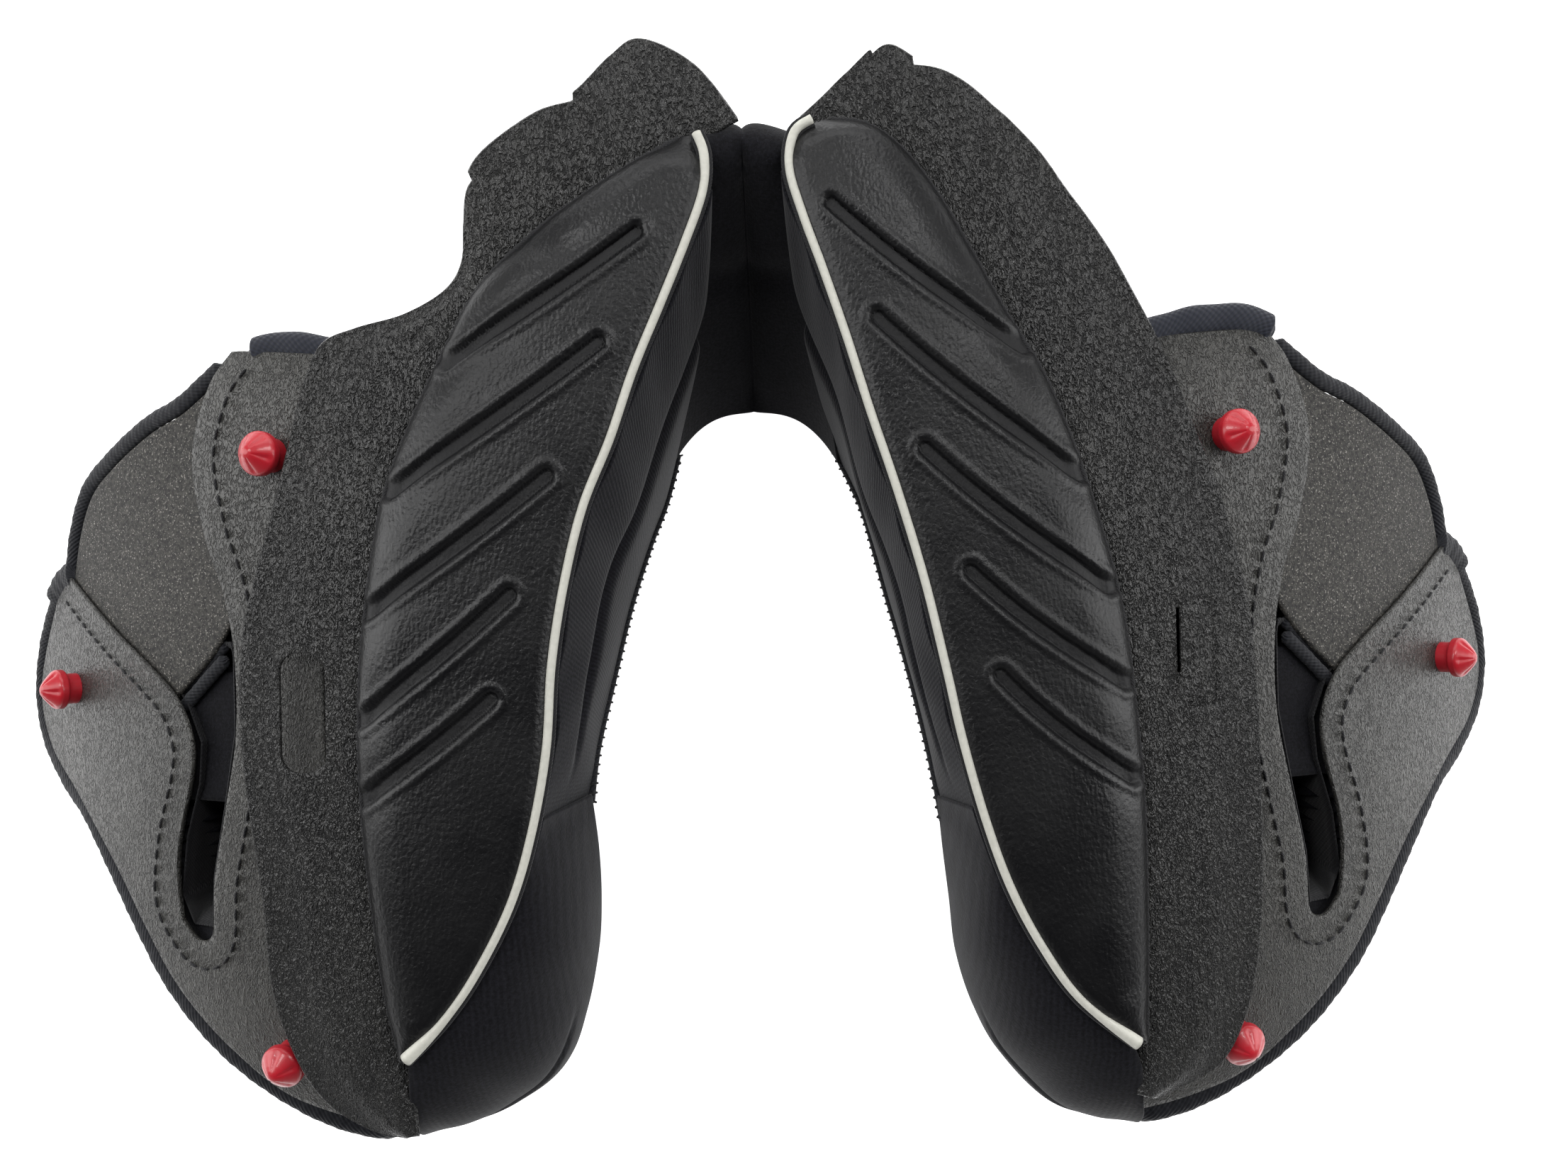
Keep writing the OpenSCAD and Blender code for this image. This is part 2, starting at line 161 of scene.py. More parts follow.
# %% [markdown]
# ## Curves and surfaces
# Nearly every piece lies between two guide curves. A smooth curve runs through a few chosen
# points, and a face is ruled from one curve to the other. These are computed as whole arrays.


# %% Curve helpers
def curve(points, count):
    """Catmull-Rom curve: each stretch blends four neighbouring points by cubic weights."""
    p = np.asarray(points, float)
    last = len(p) - 1
    s = np.linspace(0, last, count)
    i = np.minimum(s.astype(int), last - 1)
    t = (s - i)[:, None]
    a, b, c, d = p[np.maximum(i - 1, 0)], p[i], p[i + 1], p[np.minimum(i + 2, last)]
    return 0.5 * (2 * b + (c - a) * t + (2 * a - 5 * b + 4 * c - d) * t**2
                  + (3 * b - a - 3 * c + d) * t**3)


def along(path):
    """Distance along a path from its start to each of its points."""
    steps = np.linalg.norm(np.diff(path, axis=0), axis=1)
    return np.concatenate([[0], np.cumsum(steps)])


def even(path, count):
    """The same path with its points spaced evenly along its length."""
    s = along(path)
    t = np.linspace(0, s[-1], count)
    return np.stack([np.interp(t, s, path[:, k]) for k in range(path.shape[1])], axis=1)


def smooth(x):
    """Smooth step from 0 to 1 as x goes from 0 to 1."""
    x = np.clip(x, 0, 1)
    return x * x * (3 - 2 * x)


def bell(x, width):
    """Bell curve: 1 where x is 0, and gone beyond about twice the width."""
    return np.exp(-((x / width) ** 2))


def angles(count):
    """Angles spaced evenly round a full turn."""
    return np.linspace(0, 2 * np.pi, count, endpoint=False)


def shares(rows, columns):
    """Shares from 0 to 1, down the rows and across the columns of a grid."""
    return np.linspace(0, 1, rows)[:, None], np.linspace(0, 1, columns)[None]


def unit(v):
    """Vectors scaled to length 1."""
    return v / np.maximum(np.linalg.norm(v, axis=-1, keepdims=True), 1e-9)


def beside(line, distance):
    """A line in plan moved sideways by a distance."""
    heading = unit(np.gradient(line, axis=0))
    return line + np.stack([-heading[:, 1], heading[:, 0]], -1) * distance


def cross_axes(path, up=(0, 0, 1), axis=0):
    """Sideways and upward directions at each point of a path."""
    heading = unit(np.gradient(path, axis=axis))
    sideways = unit(np.cross(heading, np.array(up, float)))
    return sideways, np.cross(sideways, heading)


def ruled(a, b, columns):
    """Grid of points on the straight lines from curve a to curve b."""
    t = np.linspace(0, 1, columns)[None, :, None]
    return a[:, None] * (1 - t) + b[:, None] * t


def normals(face):
    """Normal of a grid at each point: the cross product of its two directions."""
    return unit(np.cross(np.gradient(face, axis=0), np.gradient(face, axis=1)))


def with_z(flat, z):
    """Adds a height to points in plan."""
    return np.concatenate([flat, np.broadcast_to(z, flat.shape[:-1])[..., None]], axis=-1)


# %% [markdown]
# A surface becomes a piece when its points and faces go into a mesh. Each one is a closed
# solid whose faces point outwards: if the signed volume comes out negative, the faces are
# turned round. The map stored with it is the distance along and across the cloth in metres.


# %% Mesh helpers
def quads(index):
    """Faces between neighbouring rows and columns of a grid of vertex numbers."""
    corners = [index[:-1, :-1], index[1:, :-1], index[1:, 1:], index[:-1, 1:]]
    return np.stack(corners, -1).reshape(-1, 4)


def add_mesh(name, points, faces, cloth_map, side="right"):
    """Makes an object from points in design millimetres, faces and a map in metres."""
    co = in_frame(points, side)
    faces = np.asarray(faces, int)
    a, b, c, d = (co[faces[:, k]] for k in range(4))
    volume = np.einsum("ij,ij->", a, np.cross(b, c)) + np.einsum("ij,ij->", a, np.cross(c, d))
    if volume < 0:
        faces = faces[:, ::-1]
        turned = faces[:, 0] == faces[:, 1]
        faces = np.where(turned[:, None], np.roll(faces, -2, axis=1), faces)
    mesh = bpy.data.meshes.new(name)
    mesh.vertices.add(len(co))
    mesh.vertices.foreach_set("co", co.astype(np.float32).ravel())
    same = faces[:, 2] == faces[:, 3]
    corners = np.where(same, 3, 4)
    keep = np.ones_like(faces, bool)
    keep[same, 3] = False
    loops = faces[keep]
    mesh.loops.add(len(loops))
    mesh.loops.foreach_set("vertex_index", loops.astype(np.int32))
    mesh.polygons.add(len(faces))
    starts = np.concatenate([[0], np.cumsum(corners)[:-1]])
    mesh.polygons.foreach_set("loop_start", starts.astype(np.int32))
    layer = mesh.uv_layers.new(name="cloth")
    layer.data.foreach_set("uv", cloth_map[loops].astype(np.float32).ravel())
    mesh.update(calc_edges=True)
    mesh.validate()
    mesh.shade_smooth()
    piece = bpy.data.objects.new(name, mesh)
    bpy.context.scene.collection.objects.link(piece)
    return piece


def grid_map(face):
    """Distance along the rows and across the columns of a grid, in metres."""
    down = np.linalg.norm(np.diff(face, axis=0), axis=2).mean(1)
    over = np.linalg.norm(np.diff(face, axis=1), axis=2).cumsum(1)
    over = np.concatenate([np.zeros((len(face), 1)), over], axis=1)
    rows = np.broadcast_to(np.concatenate([[0], np.cumsum(down)])[:, None], face.shape[:2])
    return np.stack([rows, over], -1).reshape(-1, 2) * MM


def shell(name, top, bottom, side="right", bulge=0.6):
    """Closed solid between two grids, with a rim that stands out by bulge in the middle."""
    rows, columns = top.shape[:2]
    index = np.arange(rows * columns).reshape(rows, columns)
    rim = np.concatenate([index[0, :-1], index[:-1, -1], index[-1, :0:-1], index[:0:-1, 0]])
    r, c = np.divmod(rim, columns)
    inner = np.clip(r, 1, rows - 2) * columns + np.clip(c, 1, columns - 2)
    upper, lower = top.reshape(-1, 3), bottom.reshape(-1, 3)
    middle = (upper[rim] + lower[rim]) / 2
    middle = middle + unit(middle - (upper[inner] + lower[inner]) / 2) * bulge
    size = rows * columns
    mid = 2 * size + np.arange(len(rim))
    top_edge = np.append(rim, rim[0])
    mid_edge = np.append(mid, mid[0])
    faces = np.concatenate([
        quads(index),
        quads(index + size)[:, ::-1],
        np.stack([top_edge[:-1], top_edge[1:], mid_edge[1:], mid_edge[:-1]], -1),
        np.stack([mid_edge[:-1], mid_edge[1:], top_edge[1:] + size, top_edge[:-1] + size], -1),
    ])
    flat = grid_map(top)
    return add_mesh(name, np.concatenate([upper, lower, middle]), faces,
                    np.concatenate([flat, flat, flat[rim]]), side)


def sheet_of(name, face, thick, side="right"):
    """Closed sheet: a face and its copy moved along the normals by the thickness."""
    n = normals(face)
    return shell(name, face + n * thick / 2, face - n * thick / 2, side, thick * 0.45)


def ring_solid(name, rings, first, last, cloth_map, side="right"):
    """Closed solid from rings of points, with a point that closes each end."""
    count, sides = rings.shape[:2]
    index = np.arange(count * sides).reshape(count, sides)
    wrap = np.concatenate([index, index[:, :1]], axis=1)
    ends = []
    for row, tip in ((wrap[0, ::-1], count * sides), (wrap[-1], count * sides + 1)):
        point = np.full(sides, tip)
        ends.append(np.stack([row[1:], row[:-1], point, point], -1))
    points = np.vstack([rings.reshape(-1, 3), first, last])
    return add_mesh(name, points, np.concatenate([quads(wrap), *ends]), cloth_map, side)


def sweep(name, path, section, side="right", up=(0, 0, 1), taper=None):
    """Closed tube: a section of (sideways, upwards) points carried along a path."""
    sideways, rise = cross_axes(path, up)
    size = (np.ones(len(path)) if taper is None else taper)[:, None, None]
    rings = (path[:, None] + sideways[:, None] * section[None, :, :1] * size
             + rise[:, None] * section[None, :, 1:] * size)
    round_s = along(np.vstack([section, section[:1]]))[:-1]
    s = along(path)
    flat = np.stack(np.meshgrid(s, round_s, indexing="ij"), -1).reshape(-1, 2)
    flat = np.vstack([flat, [s[0], 0], [s[-1], 0]]) * MM
    return ring_solid(name, rings, path[0], path[-1], flat, side)


def oval(half_width, half_height, sides=20):
    """Section of a tube: points round an ellipse."""
    a = angles(sides)
    return np.stack([np.cos(a) * half_width, np.sin(a) * half_height], -1)


# %% [markdown]
# ## Finishes
# Every finish is a Principled shader whose colour, roughness and bump come from procedural
# patterns. Moulded grain reads object coordinates, so it runs on through a piece. Knit, weave
# and twill read the cloth map, so they follow the surface as real yarn does.


# %% Finish helpers
def new_finish(name, roughness, **sockets):
    """An empty finish: a Principled shader with the given plain socket values."""
    made = bpy.data.materials.new(name)
    made.use_nodes = True
    shader = made.node_tree.nodes["Principled BSDF"]
    shader.inputs["Roughness"].default_value = roughness
    for socket, value in sockets.items():
        shader.inputs[socket.replace("_", " ")].default_value = value
    return made, made.node_tree, shader


def add_node(tree, kind, values, links, **settings):
    """Outputs of a new node with its settings, plain input values and linked inputs."""
    node = tree.nodes.new(f"ShaderNode{kind}")
    for setting, value in settings.items():
        setattr(node, setting, value)
    for socket, value in values.items():
        node.inputs[socket].default_value = value
    for socket, link in links.items():
        tree.links.new(link, node.inputs[socket])
    return node.outputs


def place_map(tree, source="Object", scale=(1, 1, 1), turn=(0, 0, 0)):
    """Coordinates in metres, turned and scaled to pattern cells."""
    place = add_node(tree, "TexCoord", {}, {})[source]
    return add_node(tree, "Mapping", {"Scale": scale, "Rotation": turn}, {"Vector": place})["Vector"]


def noise(tree, vector, scale, detail=2.0, distortion=0.0):
    """Fractal noise of a given scale."""
    values = {"Scale": scale, "Detail": detail, "Distortion": distortion}
    return add_node(tree, "TexNoise", values, {"Vector": vector})["Fac"]


def waves(tree, vector, scale, axis, distortion):
    """Sine bands across one axis."""
    values = {"Scale": scale, "Detail": 1.0, "Distortion": distortion}
    return add_node(tree, "TexWave", values, {"Vector": vector}, bands_direction=axis)["Fac"]


def between(tree, value, low, high, out_low=0.0, out_high=1.0):
    """Moves a value from one range to another and clamps it."""
    values = {"From Min": low, "From Max": high, "To Min": out_low, "To Max": out_high}
    return add_node(tree, "MapRange", values, {"Value": value})["Result"]


def total(tree, a, b, how="ADD"):
    """Adds or multiplies two values; b may be a plain number."""
    plain = isinstance(b, (int, float))
    values, links = ({1: b}, {0: a}) if plain else ({}, {0: a, 1: b})
    return add_node(tree, "Math", values, links, operation=how)["Value"]


def colour(tree, shader, factor, dark, light):
    """Base colour: a mix of two colours by a factor."""
    values = {"A": (*dark, 1), "B": (*light, 1)}
    mixed = add_node(tree, "Mix", values, {"Factor": factor}, data_type="RGBA")["Result"]
    tree.links.new(mixed, shader.inputs["Base Color"])


def roughen(tree, shader, value):
    """Roughness that follows a value."""
    tree.links.new(value, shader.inputs["Roughness"])


def add_bump(tree, shader, height, depth):
    """Bump of the given depth in metres."""
    values = {"Strength": 1.0, "Distance": depth}
    normal = add_node(tree, "Bump", values, {"Height": height})["Normal"]
    tree.links.new(normal, shader.inputs["Normal"])


# %% [markdown]
# The bottom rolls are faced with coated leather cloth: nearly black, satin, with a fine
# pebble grain and a faint unevenness that breaks the sheen along the roll. The pressed
# channels are duller, and their colour is darker: painted shade in the recess. A mark stored on the mesh
# says where they are.

# %% Leather finish
leather, tree, shader = new_finish("satin_leather", 0.38, Specular_IOR_Level=0.4)
grain_place = place_map(tree)
pebble_place = place_map(tree, scale=(1, 0.6, 1), turn=(0, 0, 0.7))
pebble = add_node(tree, "TexVoronoi", {"Scale": 1250}, {"Vector": pebble_place},
                  feature="SMOOTH_F1")["Distance"]
wrinkle = noise(tree, grain_place, 1100, 2, 0.6)
patches = noise(tree, grain_place, 60, 2)
pressed = add_node(tree, "Attribute", {}, {}, attribute_name="pressed")["Fac"]
# Painted shade: the colour is darkest in the pressed channels.
shade = total(tree, patches, between(tree, pressed, 0, 1, 1, 0), "MULTIPLY")
colour(tree, shader, shade, (0.0024, 0.0024, 0.0032), (0.0056, 0.0056, 0.0060))
dull = between(tree, pressed, 0, 1, 0, 0.2)
roughen(tree, shader, total(tree, between(tree, patches, 0.3, 0.7, 0.34, 0.44), dull))
add_bump(tree, shader, total(tree, pebble, wrinkle), 0.00011)
print(leather.name)

# %% [markdown]
# The edge strips are flexible plastic sheet with a coarse haircell emboss: short raised
# wrinkles that all lean one way, glossy on their crests. The plates have the same emboss in
# a finer size and a paler grey, with streaks where the mould wore.


# %% Haircell finishes
def haircell(name, dark, light, size, lean, depth, roughness, gloss):
    """Embossed sheet: noise stretched along the lean, whose middle level makes valleys."""
    made, tree, shader = new_finish(name, roughness, Specular_IOR_Level=0.42)
    place = place_map(tree, scale=(1.0, 0.55, 1.0), turn=(0, 0, lean))
    lumps = noise(tree, place, size, 1.0, 0.8)
    from_middle = total(tree, total(tree, lumps, -0.5), 0.0, "ABSOLUTE")
    valley = between(tree, from_middle, 0.0, 0.075)
    fine = noise(tree, place, size * 2.4, 2, 0.4)
    crests = total(tree, valley, total(tree, lumps, 0.8, "MULTIPLY"))
    streak = noise(tree, place_map(tree, scale=(1, 0.12, 0.6)), 420, 2)
    broad = noise(tree, place_map(tree), 22, 2)
    worn = between(tree, streak, 0.3, 0.7, -0.1, 0.2)
    shade = total(tree, between(tree, broad, 0.3, 0.7, 0.2, 0.6), worn)
    # Painted highlight and shade: the colour is lighter on the crests and darker in the valleys.
    shade = total(tree, shade, between(tree, crests, 0.3, 1.2, -0.25, 0.3))
    colour(tree, shader, shade, dark, light)
    roughen(tree, shader, between(tree, crests, 0.3, 1.3, roughness + 0.14, roughness - gloss))
    add_bump(tree, shader, total(tree, crests, total(tree, fine, 0.5, "MULTIPLY")), depth)
    return made


strip_sheet = haircell("haircell_strip", (0.004, 0.004, 0.005), (0.034, 0.0335, 0.032),
                       size=950, lean=0.75, depth=0.0010, roughness=0.30, gloss=0.15)
plate_sheet = haircell("haircell_plate", (0.014, 0.0137, 0.0127), (0.060, 0.0585, 0.053),
                       size=1050, lean=0.2, depth=0.00045, roughness=0.44, gloss=0.14)
print(strip_sheet.name, plate_sheet.name)

# %% [markdown]
# The ear panel is foam-backed laminate with tiny glittering specks. Noise finer than half a
# millimetre is cut off high, so only a few points come out pale and smooth.

# %% Ear laminate finish
ear_cloth, tree, shader = new_finish("sparkle_laminate", 0.6, Specular_IOR_Level=0.35)
speck_place = place_map(tree)
grit = noise(tree, speck_place, 1900, 2)
specks = between(tree, grit, 0.60, 0.70)
speck_tone = between(tree, noise(tree, speck_place, 900, 3), 0.35, 0.7)
base_tone = total(tree, specks, total(tree, speck_tone, 0.22, "MULTIPLY"))
colour(tree, shader, base_tone, (0.0045, 0.0043, 0.0039), (0.22, 0.205, 0.18))
roughen(tree, shader, between(tree, specks, 0, 1, 0.68, 0.3))
add_bump(tree, shader, grit, 0.00022)

# %% [markdown]
# The knit cover is navy-black jersey with fine ribs and a light fuzz that glows a little at
# grazing angles, which the sheen gives. The ribs run down the walls, so on the map they are
# bands along the rows. The front lobe is a coarser rib than the neck.


# %% Cloth finishes
WAVE_PITCH = 0.314


def knit(name, ribs, fuzz, source="UV", depth=0.00012, rib_share=0.3):
    """Jersey: fine sine ribs a set distance apart, broken by fuzz, with scattered lint."""
    made, tree, shader = new_finish(name, 0.85, Sheen_Weight=0.10, Sheen_Roughness=0.4,
                                    Specular_IOR_Level=0.16)
    bands = waves(tree, place_map(tree, source), WAVE_PITCH / (ribs * MM), "X", 2.5)
    plain = place_map(tree)
    nap = noise(tree, plain, 1300, 3, 0.5)
    lint = between(tree, noise(tree, plain, 2400, 1), 0.68, 0.76)
    nap_tone = between(tree, nap, 0.35, 0.75, 0, 0.55)
    soft = total(tree, total(tree, bands, rib_share, "MULTIPLY"), nap_tone)
    tone_mix = total(tree, soft, total(tree, lint, fuzz, "MULTIPLY"))
    colour(tree, shader, tone_mix, (0.0016, 0.0016, 0.0026), (0.0150, 0.0150, 0.0200))
    add_bump(tree, shader, total(tree, total(tree, bands, rib_share * 2, "MULTIPLY"), nap), depth)
    return made


wall_knit = knit("wall_knit", 1.1, 0.9)
lobe_knit = knit("lobe_knit", 1.5, 0.6, source="Object", depth=0.0001, rib_share=0.22)
plain_knit = knit("plain_knit", 1.0, 1.0, rib_share=0.05)
print("ribs 1.1 mm on the walls, 1.5 mm on the lobes")


def twill(name, tone, pitch, depth):
    """Woven tape: diagonal bands of yarn on the cloth map, with lighter crowns."""
    made, tree, shader = new_finish(name, 0.7, Sheen_Weight=0.1, Specular_IOR_Level=0.25)
    place = place_map(tree, "UV", turn=(0, 0, 0.9))
    yarn = waves(tree, place, WAVE_PITCH / (pitch * MM), "X", 0.4)
    cross = waves(tree, place, 0.2 / (pitch * MM), "Y", 0.6)
    height = total(tree, yarn, total(tree, cross, 0.5, "MULTIPLY"))
    crown = tuple(2.2 * t + 0.002 for t in tone)
    colour(tree, shader, total(tree, height, 0.5, "MULTIPLY"), tone, crown)
    add_bump(tree, shader, height, depth)
    return made


binding_tape = twill("binding_tape", (0.0055, 0.0060, 0.0085), 0.9, 0.00012)
wrap_cloth = twill("wrap_cloth", (0.0085, 0.0100, 0.0165), 1.0, 0.00014)
thread = twill("sewing_thread", (0.008, 0.008, 0.009), 0.5, 0.00006)
lining_cloth = twill("slot_lining", (0.0035, 0.0035, 0.0045), 0.8, 0.0001)

# %% [markdown]
# The piping is off-white coated cord, the studs are red nylon that lets a little light in,
# and the washers under the plates are natural nylon.

# %% Piping and stud finishes
piping_cord, tree, shader = new_finish("white_piping", 0.5)
cord_noise = noise(tree, place_map(tree), 800, 3)
colour(tree, shader, cord_noise, (0.50, 0.50, 0.44), (0.70, 0.69, 0.62))
add_bump(tree, shader, cord_noise, 0.00008)

stud_nylon, tree, shader = new_finish("red_nylon", 0.34, Coat_Weight=0.15, Subsurface_Weight=0.25,
                                      Subsurface_Scale=0.003, Subsurface_Radius=(1.0, 0.25, 0.2))
nylon_noise = noise(tree, place_map(tree), 260, 2)
colour(tree, shader, nylon_noise, (0.42, 0.010, 0.020), (0.55, 0.020, 0.034))
add_bump(tree, shader, nylon_noise, 0.00006)

washer_nylon, tree, shader = new_finish("washer_nylon", 0.45)
washer_noise = noise(tree, place_map(tree), 300, 2)
colour(tree, shader, washer_noise, (0.50, 0.50, 0.48), (0.62, 0.62, 0.60))

floor_paint, tree, shader = new_finish("pale_floor", 0.9, Specular_IOR_Level=0.0,
                                       Emission_Color=(1, 1, 1, 1), Emission_Strength=0.95)
floor_noise = noise(tree, place_map(tree), 3, 2)
colour(tree, shader, floor_noise, (0.93, 0.93, 0.93), (0.95, 0.95, 0.95))
floor_mesh.materials.append(floor_paint)
print("finishes:", len(bpy.data.materials))


# %% [markdown]
# Each finished piece gets its finish in a material slot, the CAD body that carries it, and
# the CAD nodes that it stands for.


# %% Dress a piece
def dress(piece, finish, body=None, stands_for=()):
    """Gives a piece its finish and slot, lets it ride on a body and stand for CAD nodes."""
    piece.data.materials.append(finish)
    if body:
        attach(piece, body)
    if stands_for:
        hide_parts(*stands_for)
    return piece


# %% [markdown]
# ## Heights
# The backing plates fall away from a straight spine beside the roll, slowly at first and
# then faster. Everything on the plate takes its height from this one rule.

# %% Plate and belly heights
ROLL_Z = 91.0
SEAM_Z = 84.6
STRIP_Z = 82.6
PLATE_Z = 79.0
PLATE_SLOPE = 0.2
PLATE_CURVE = 0.0031
SPINE_X = 100.0
SPINE_ENDS = (-95.0, 45.0)
BELLY_Z = 50.0


def plate_z(x, y):
    """Plate height: it drops with the distance from the spine and with its square."""
    r = np.hypot(np.maximum(x - SPINE_X, 0), y - np.clip(y, *SPINE_ENDS))
    return PLATE_Z - PLATE_SLOPE * r - PLATE_CURVE * r * r


def belly_z(x, y):
    """Underside of the pad: it slopes down to the table and lifts towards both ends."""
    front, rear = np.maximum(-90 - y, 0), np.maximum(y - 20, 0)
    return 1.3 + np.maximum(0, BELLY_Z - 0.45 * (x - 50) + 0.014 * front**2 + 0.02 * rear**2)


def on_plate(flat, above=0.0):
    """Points in plan set on the plate, or a distance above it."""
    return with_z(flat, plate_z(flat[..., 0], flat[..., 1]) + above)


# %% [markdown]
# ## Guide curves
# The two rolls are hand sewn and differ by a few millimetres, so each side has its own
# piping line, seam line and strip edge. Lines of one group are matched point to point.

# %% Lines of the two rolls
PIPING = {
    "left": [[11.5, 109.8], [9.8, 104.5], [10.5, 96], [15, 84], [21, 70], [28, 54], [34, 37.5],
             [41, 21], [46, 2], [49.3, -17], [51, -37], [55, -57], [60.5, -74], [69, -90], [77, -101],
             [86, -110]],
    "right": [[17.5, 112], [13.5, 109], [12.5, 101], [15.5, 90], [20, 77], [25.5, 60], [30.5, 43],
              [36.5, 24], [42.5, 2.5], [47.5, -20], [51, -37], [56, -56], [61.5, -72], [68.5, -86],
              [77.5, -99], [91, -110]],
}
SEAM = {
    "left": [[15, 110.2], [26, 104.5], [39, 96.5], [52, 87], [65, 74], [74.5, 57], [82, 41.5],
             [88.5, 25], [92.5, 5], [95, -15], [96, -38], [95, -60], [93, -80], [91, -96],
             [89, -106], [87.5, -112]],
    "right": [[21.7, 114], [30, 112.8], [38.2, 107], [46, 97], [53.5, 84], [62.5, 67], [71.5, 51.5],
              [78.5, 34], [85, 13], [89.8, -8], [92.4, -32], [93.8, -54], [94, -74], [93.8, -91],
              [93.5, -103], [93.3, -111.5]],
}
STRIP_SEAM = {
    "left": [[10, 110.5], [14, 110.8], [20, 108], [26, 104.8], [32, 101.3], [39, 96.8], [46, 92],
             [52, 87.5], [58, 82.5], [63, 77], [67, 72], [71, 65.5], [75, 57.5], [79, 49], [83, 40],
             [87, 30], [90, 18], [92.5, 5], [94.5, -9], [96, -28], [96, -48], [94.5, -70], [92, -92],
             [89.5, -107], [88, -118], [87, -126], [86.5, -132]],
    "right": [[15, 113.2], [19, 114.2], [25, 114.5], [30.5, 113.2], [35, 110.5], [39, 107], [43, 102],
              [47, 96.5], [50.5, 91], [54.5, 84], [58.5, 76], [63, 67.5], [67.5, 59], [72.5, 50],
              [77, 40.5], [81, 29.5], [84.5, 17], [87.8, 5], [90.2, -8], [92.2, -24], [93.5, -42],
              [94.3, -60], [94.5, -78], [94.3, -95], [94, -108], [93.8, -118], [93.6, -126]],
}
STRIP_EDGE = {
    "left": [[1, 115], [11, 128], [24, 135], [32, 131.5], [41, 123.5], [51, 118.5], [63, 109],
             [67.5, 101], [68.5, 91], [69.5, 82], [74, 75.5], [84, 70], [96, 66.8], [104.5, 63],
             [109.2, 53],
             [113, 39], [117, 24], [121.5, 8], [125.3, -7], [126.6, -28], [125, -50], [122, -73],
             [120, -96], [114.5, -113], [107, -124], [97, -130.5], [89, -132.5]],
    "right": [[14.5, 115], [19.5, 120], [26, 126.5], [35.5, 134], [43.5, 129], [50, 125.5], [56, 121.5],
              [61, 117.8], [66, 114], [73.3, 106], [79, 97.6], [84.5, 90], [90, 81.5], [95.5, 71],
              [100.5, 61], [105, 50.5], [109.5, 38.5], [114.8, 24], [119.3, 7], [122.3, -9],
              [123.6, -30], [124, -52], [124, -72], [122.5, -92], [119, -107.5], [112, -119.5], [97, -127]],
}
GROOVES = {
    "left": [[[25.4, 86], [70, 58]], [[35, 60], [84, 27.5]], [[48, 28.5], [91, -2]],
             [[57.5, 0.3], [93, -28]], [[62.5, -24.5], [94.5, -48]]],
    "right": [[[21.3, 92], [64.5, 59]], [[31.7, 64.5], [77.5, 28]], [[42.3, 33], [84, 0.5]],
              [[52.5, 3.5], [88, -23]], [[59, -21.5], [89.5, -46]]],
}
print("roll lines:", len(PIPING["left"]), "points, strip lines:", len(STRIP_EDGE["left"]))

# %% [markdown]
# ## Leather panels
# A leather panel is a gently domed face between the piping and the seam. It dips into the
# piping, runs nearly flat, and rolls over its outer edge. Five channels are pressed into it,
# which pinch the roll where they cross it. The face is ruled between the two lines, and each
# feature is a height that depends on the distance to a line.

# %% Leather panels
LEATHER_THICK = 1.2
ROLL_RADIUS = 11.0
GROOVE_HALF = 2.4
GROOVE_DEPTH = 1.5


def drop(distance, radius, depth):
    """Quarter-round fall towards an edge: nothing beyond the radius, the full depth at it."""
    x = np.clip(1 - distance / radius, 0, 1)
    return depth * (1 - np.sqrt(1 - x * x * 0.98))


def groove_line(ends, side):
    """A pressed channel's centre line: a straight line with a slight forward bow."""
    a, b = np.array(ends, float)
    t = np.linspace(0, 1.06, 70)[:, None]
    bow = 1.6 if side == "right" else 0.8
    return a * (1 - t) + b * t - np.array([0.5, 0.86]) * bow * 4 * t * (1 - t)


def leather_face(side, rows=460, columns=96):
    """Ruled face, plus dome, minus the roll's fall, the dip at the piping and the channels."""
    inner = even(curve(PIPING[side], 600), rows)
    outer = even(curve(SEAM[side], 600), rows)
    v = np.linspace(0, 1, columns)
    v = v + 0.10 * np.sin(2 * np.pi * v) / (2 * np.pi)
    flat = inner[:, None] * (1 - v)[None, :, None] + outer[:, None] * v[None, :, None]
    width = np.linalg.norm(outer - inner, axis=1)[:, None]
    from_seam = (1 - v)[None] * width
    from_piping = v[None] * width
    radius = np.minimum(ROLL_RADIUS, 0.7 * width)
    z = ROLL_Z + 1.2 * np.sin(np.pi * v)[None] * smooth(width / 40)
    z = z - drop(from_seam, radius, (ROLL_Z - SEAM_Z) * smooth(width / 12 + 0.35))
    z = z - drop(from_piping, np.minimum(3.0, 0.3 * width), 2.0)
    tip = np.linspace(0, 1, rows)[:, None]
    z = z - 3.6 * (1 - smooth(tip / 0.05)) - 2.0 * (1 - smooth((1 - tip) / 0.05))
    face = with_z(flat, z)
    lift, pressed = np.zeros(z.shape), np.zeros(z.shape)
    on_roll = smooth(1 - from_seam / 20)
    for ends in GROOVES[side]:
        gap = np.linalg.norm(flat[..., None, :] - groove_line(ends, side), axis=-1).min(-1)
        wall = smooth((GROOVE_HALF - gap) / 0.8)
        pressed = np.maximum(pressed, wall)
        lift = lift - GROOVE_DEPTH * wall * (0.35 + 0.65 * smooth(from_seam / 3))
        lift = lift + 0.3 * bell(gap - GROOVE_HALF - 0.8, 0.8)
        lift = lift - 1.1 * on_roll * smooth(from_seam / 5) * bell(gap, 6.0)
    hollow = np.exp(-(((flat[..., 0] - 47) / 9) ** 2) - ((flat[..., 1] - 84) / 5) ** 2)
    lift = lift - (0.9 if side == "left" else 0.25) * hollow
    return face + normals(face) * lift[..., None], pressed


def store_mark(piece, name, values):
    """Stores a value at each point of a shell; its two faces share the grid's values."""
    marks = np.zeros(len(piece.data.vertices), np.float32)
    count = values.size
    marks[:count] = marks[count:2 * count] = values.ravel()
    piece.data.attributes.new(name, "FLOAT", "POINT").data.foreach_set("value", marks)


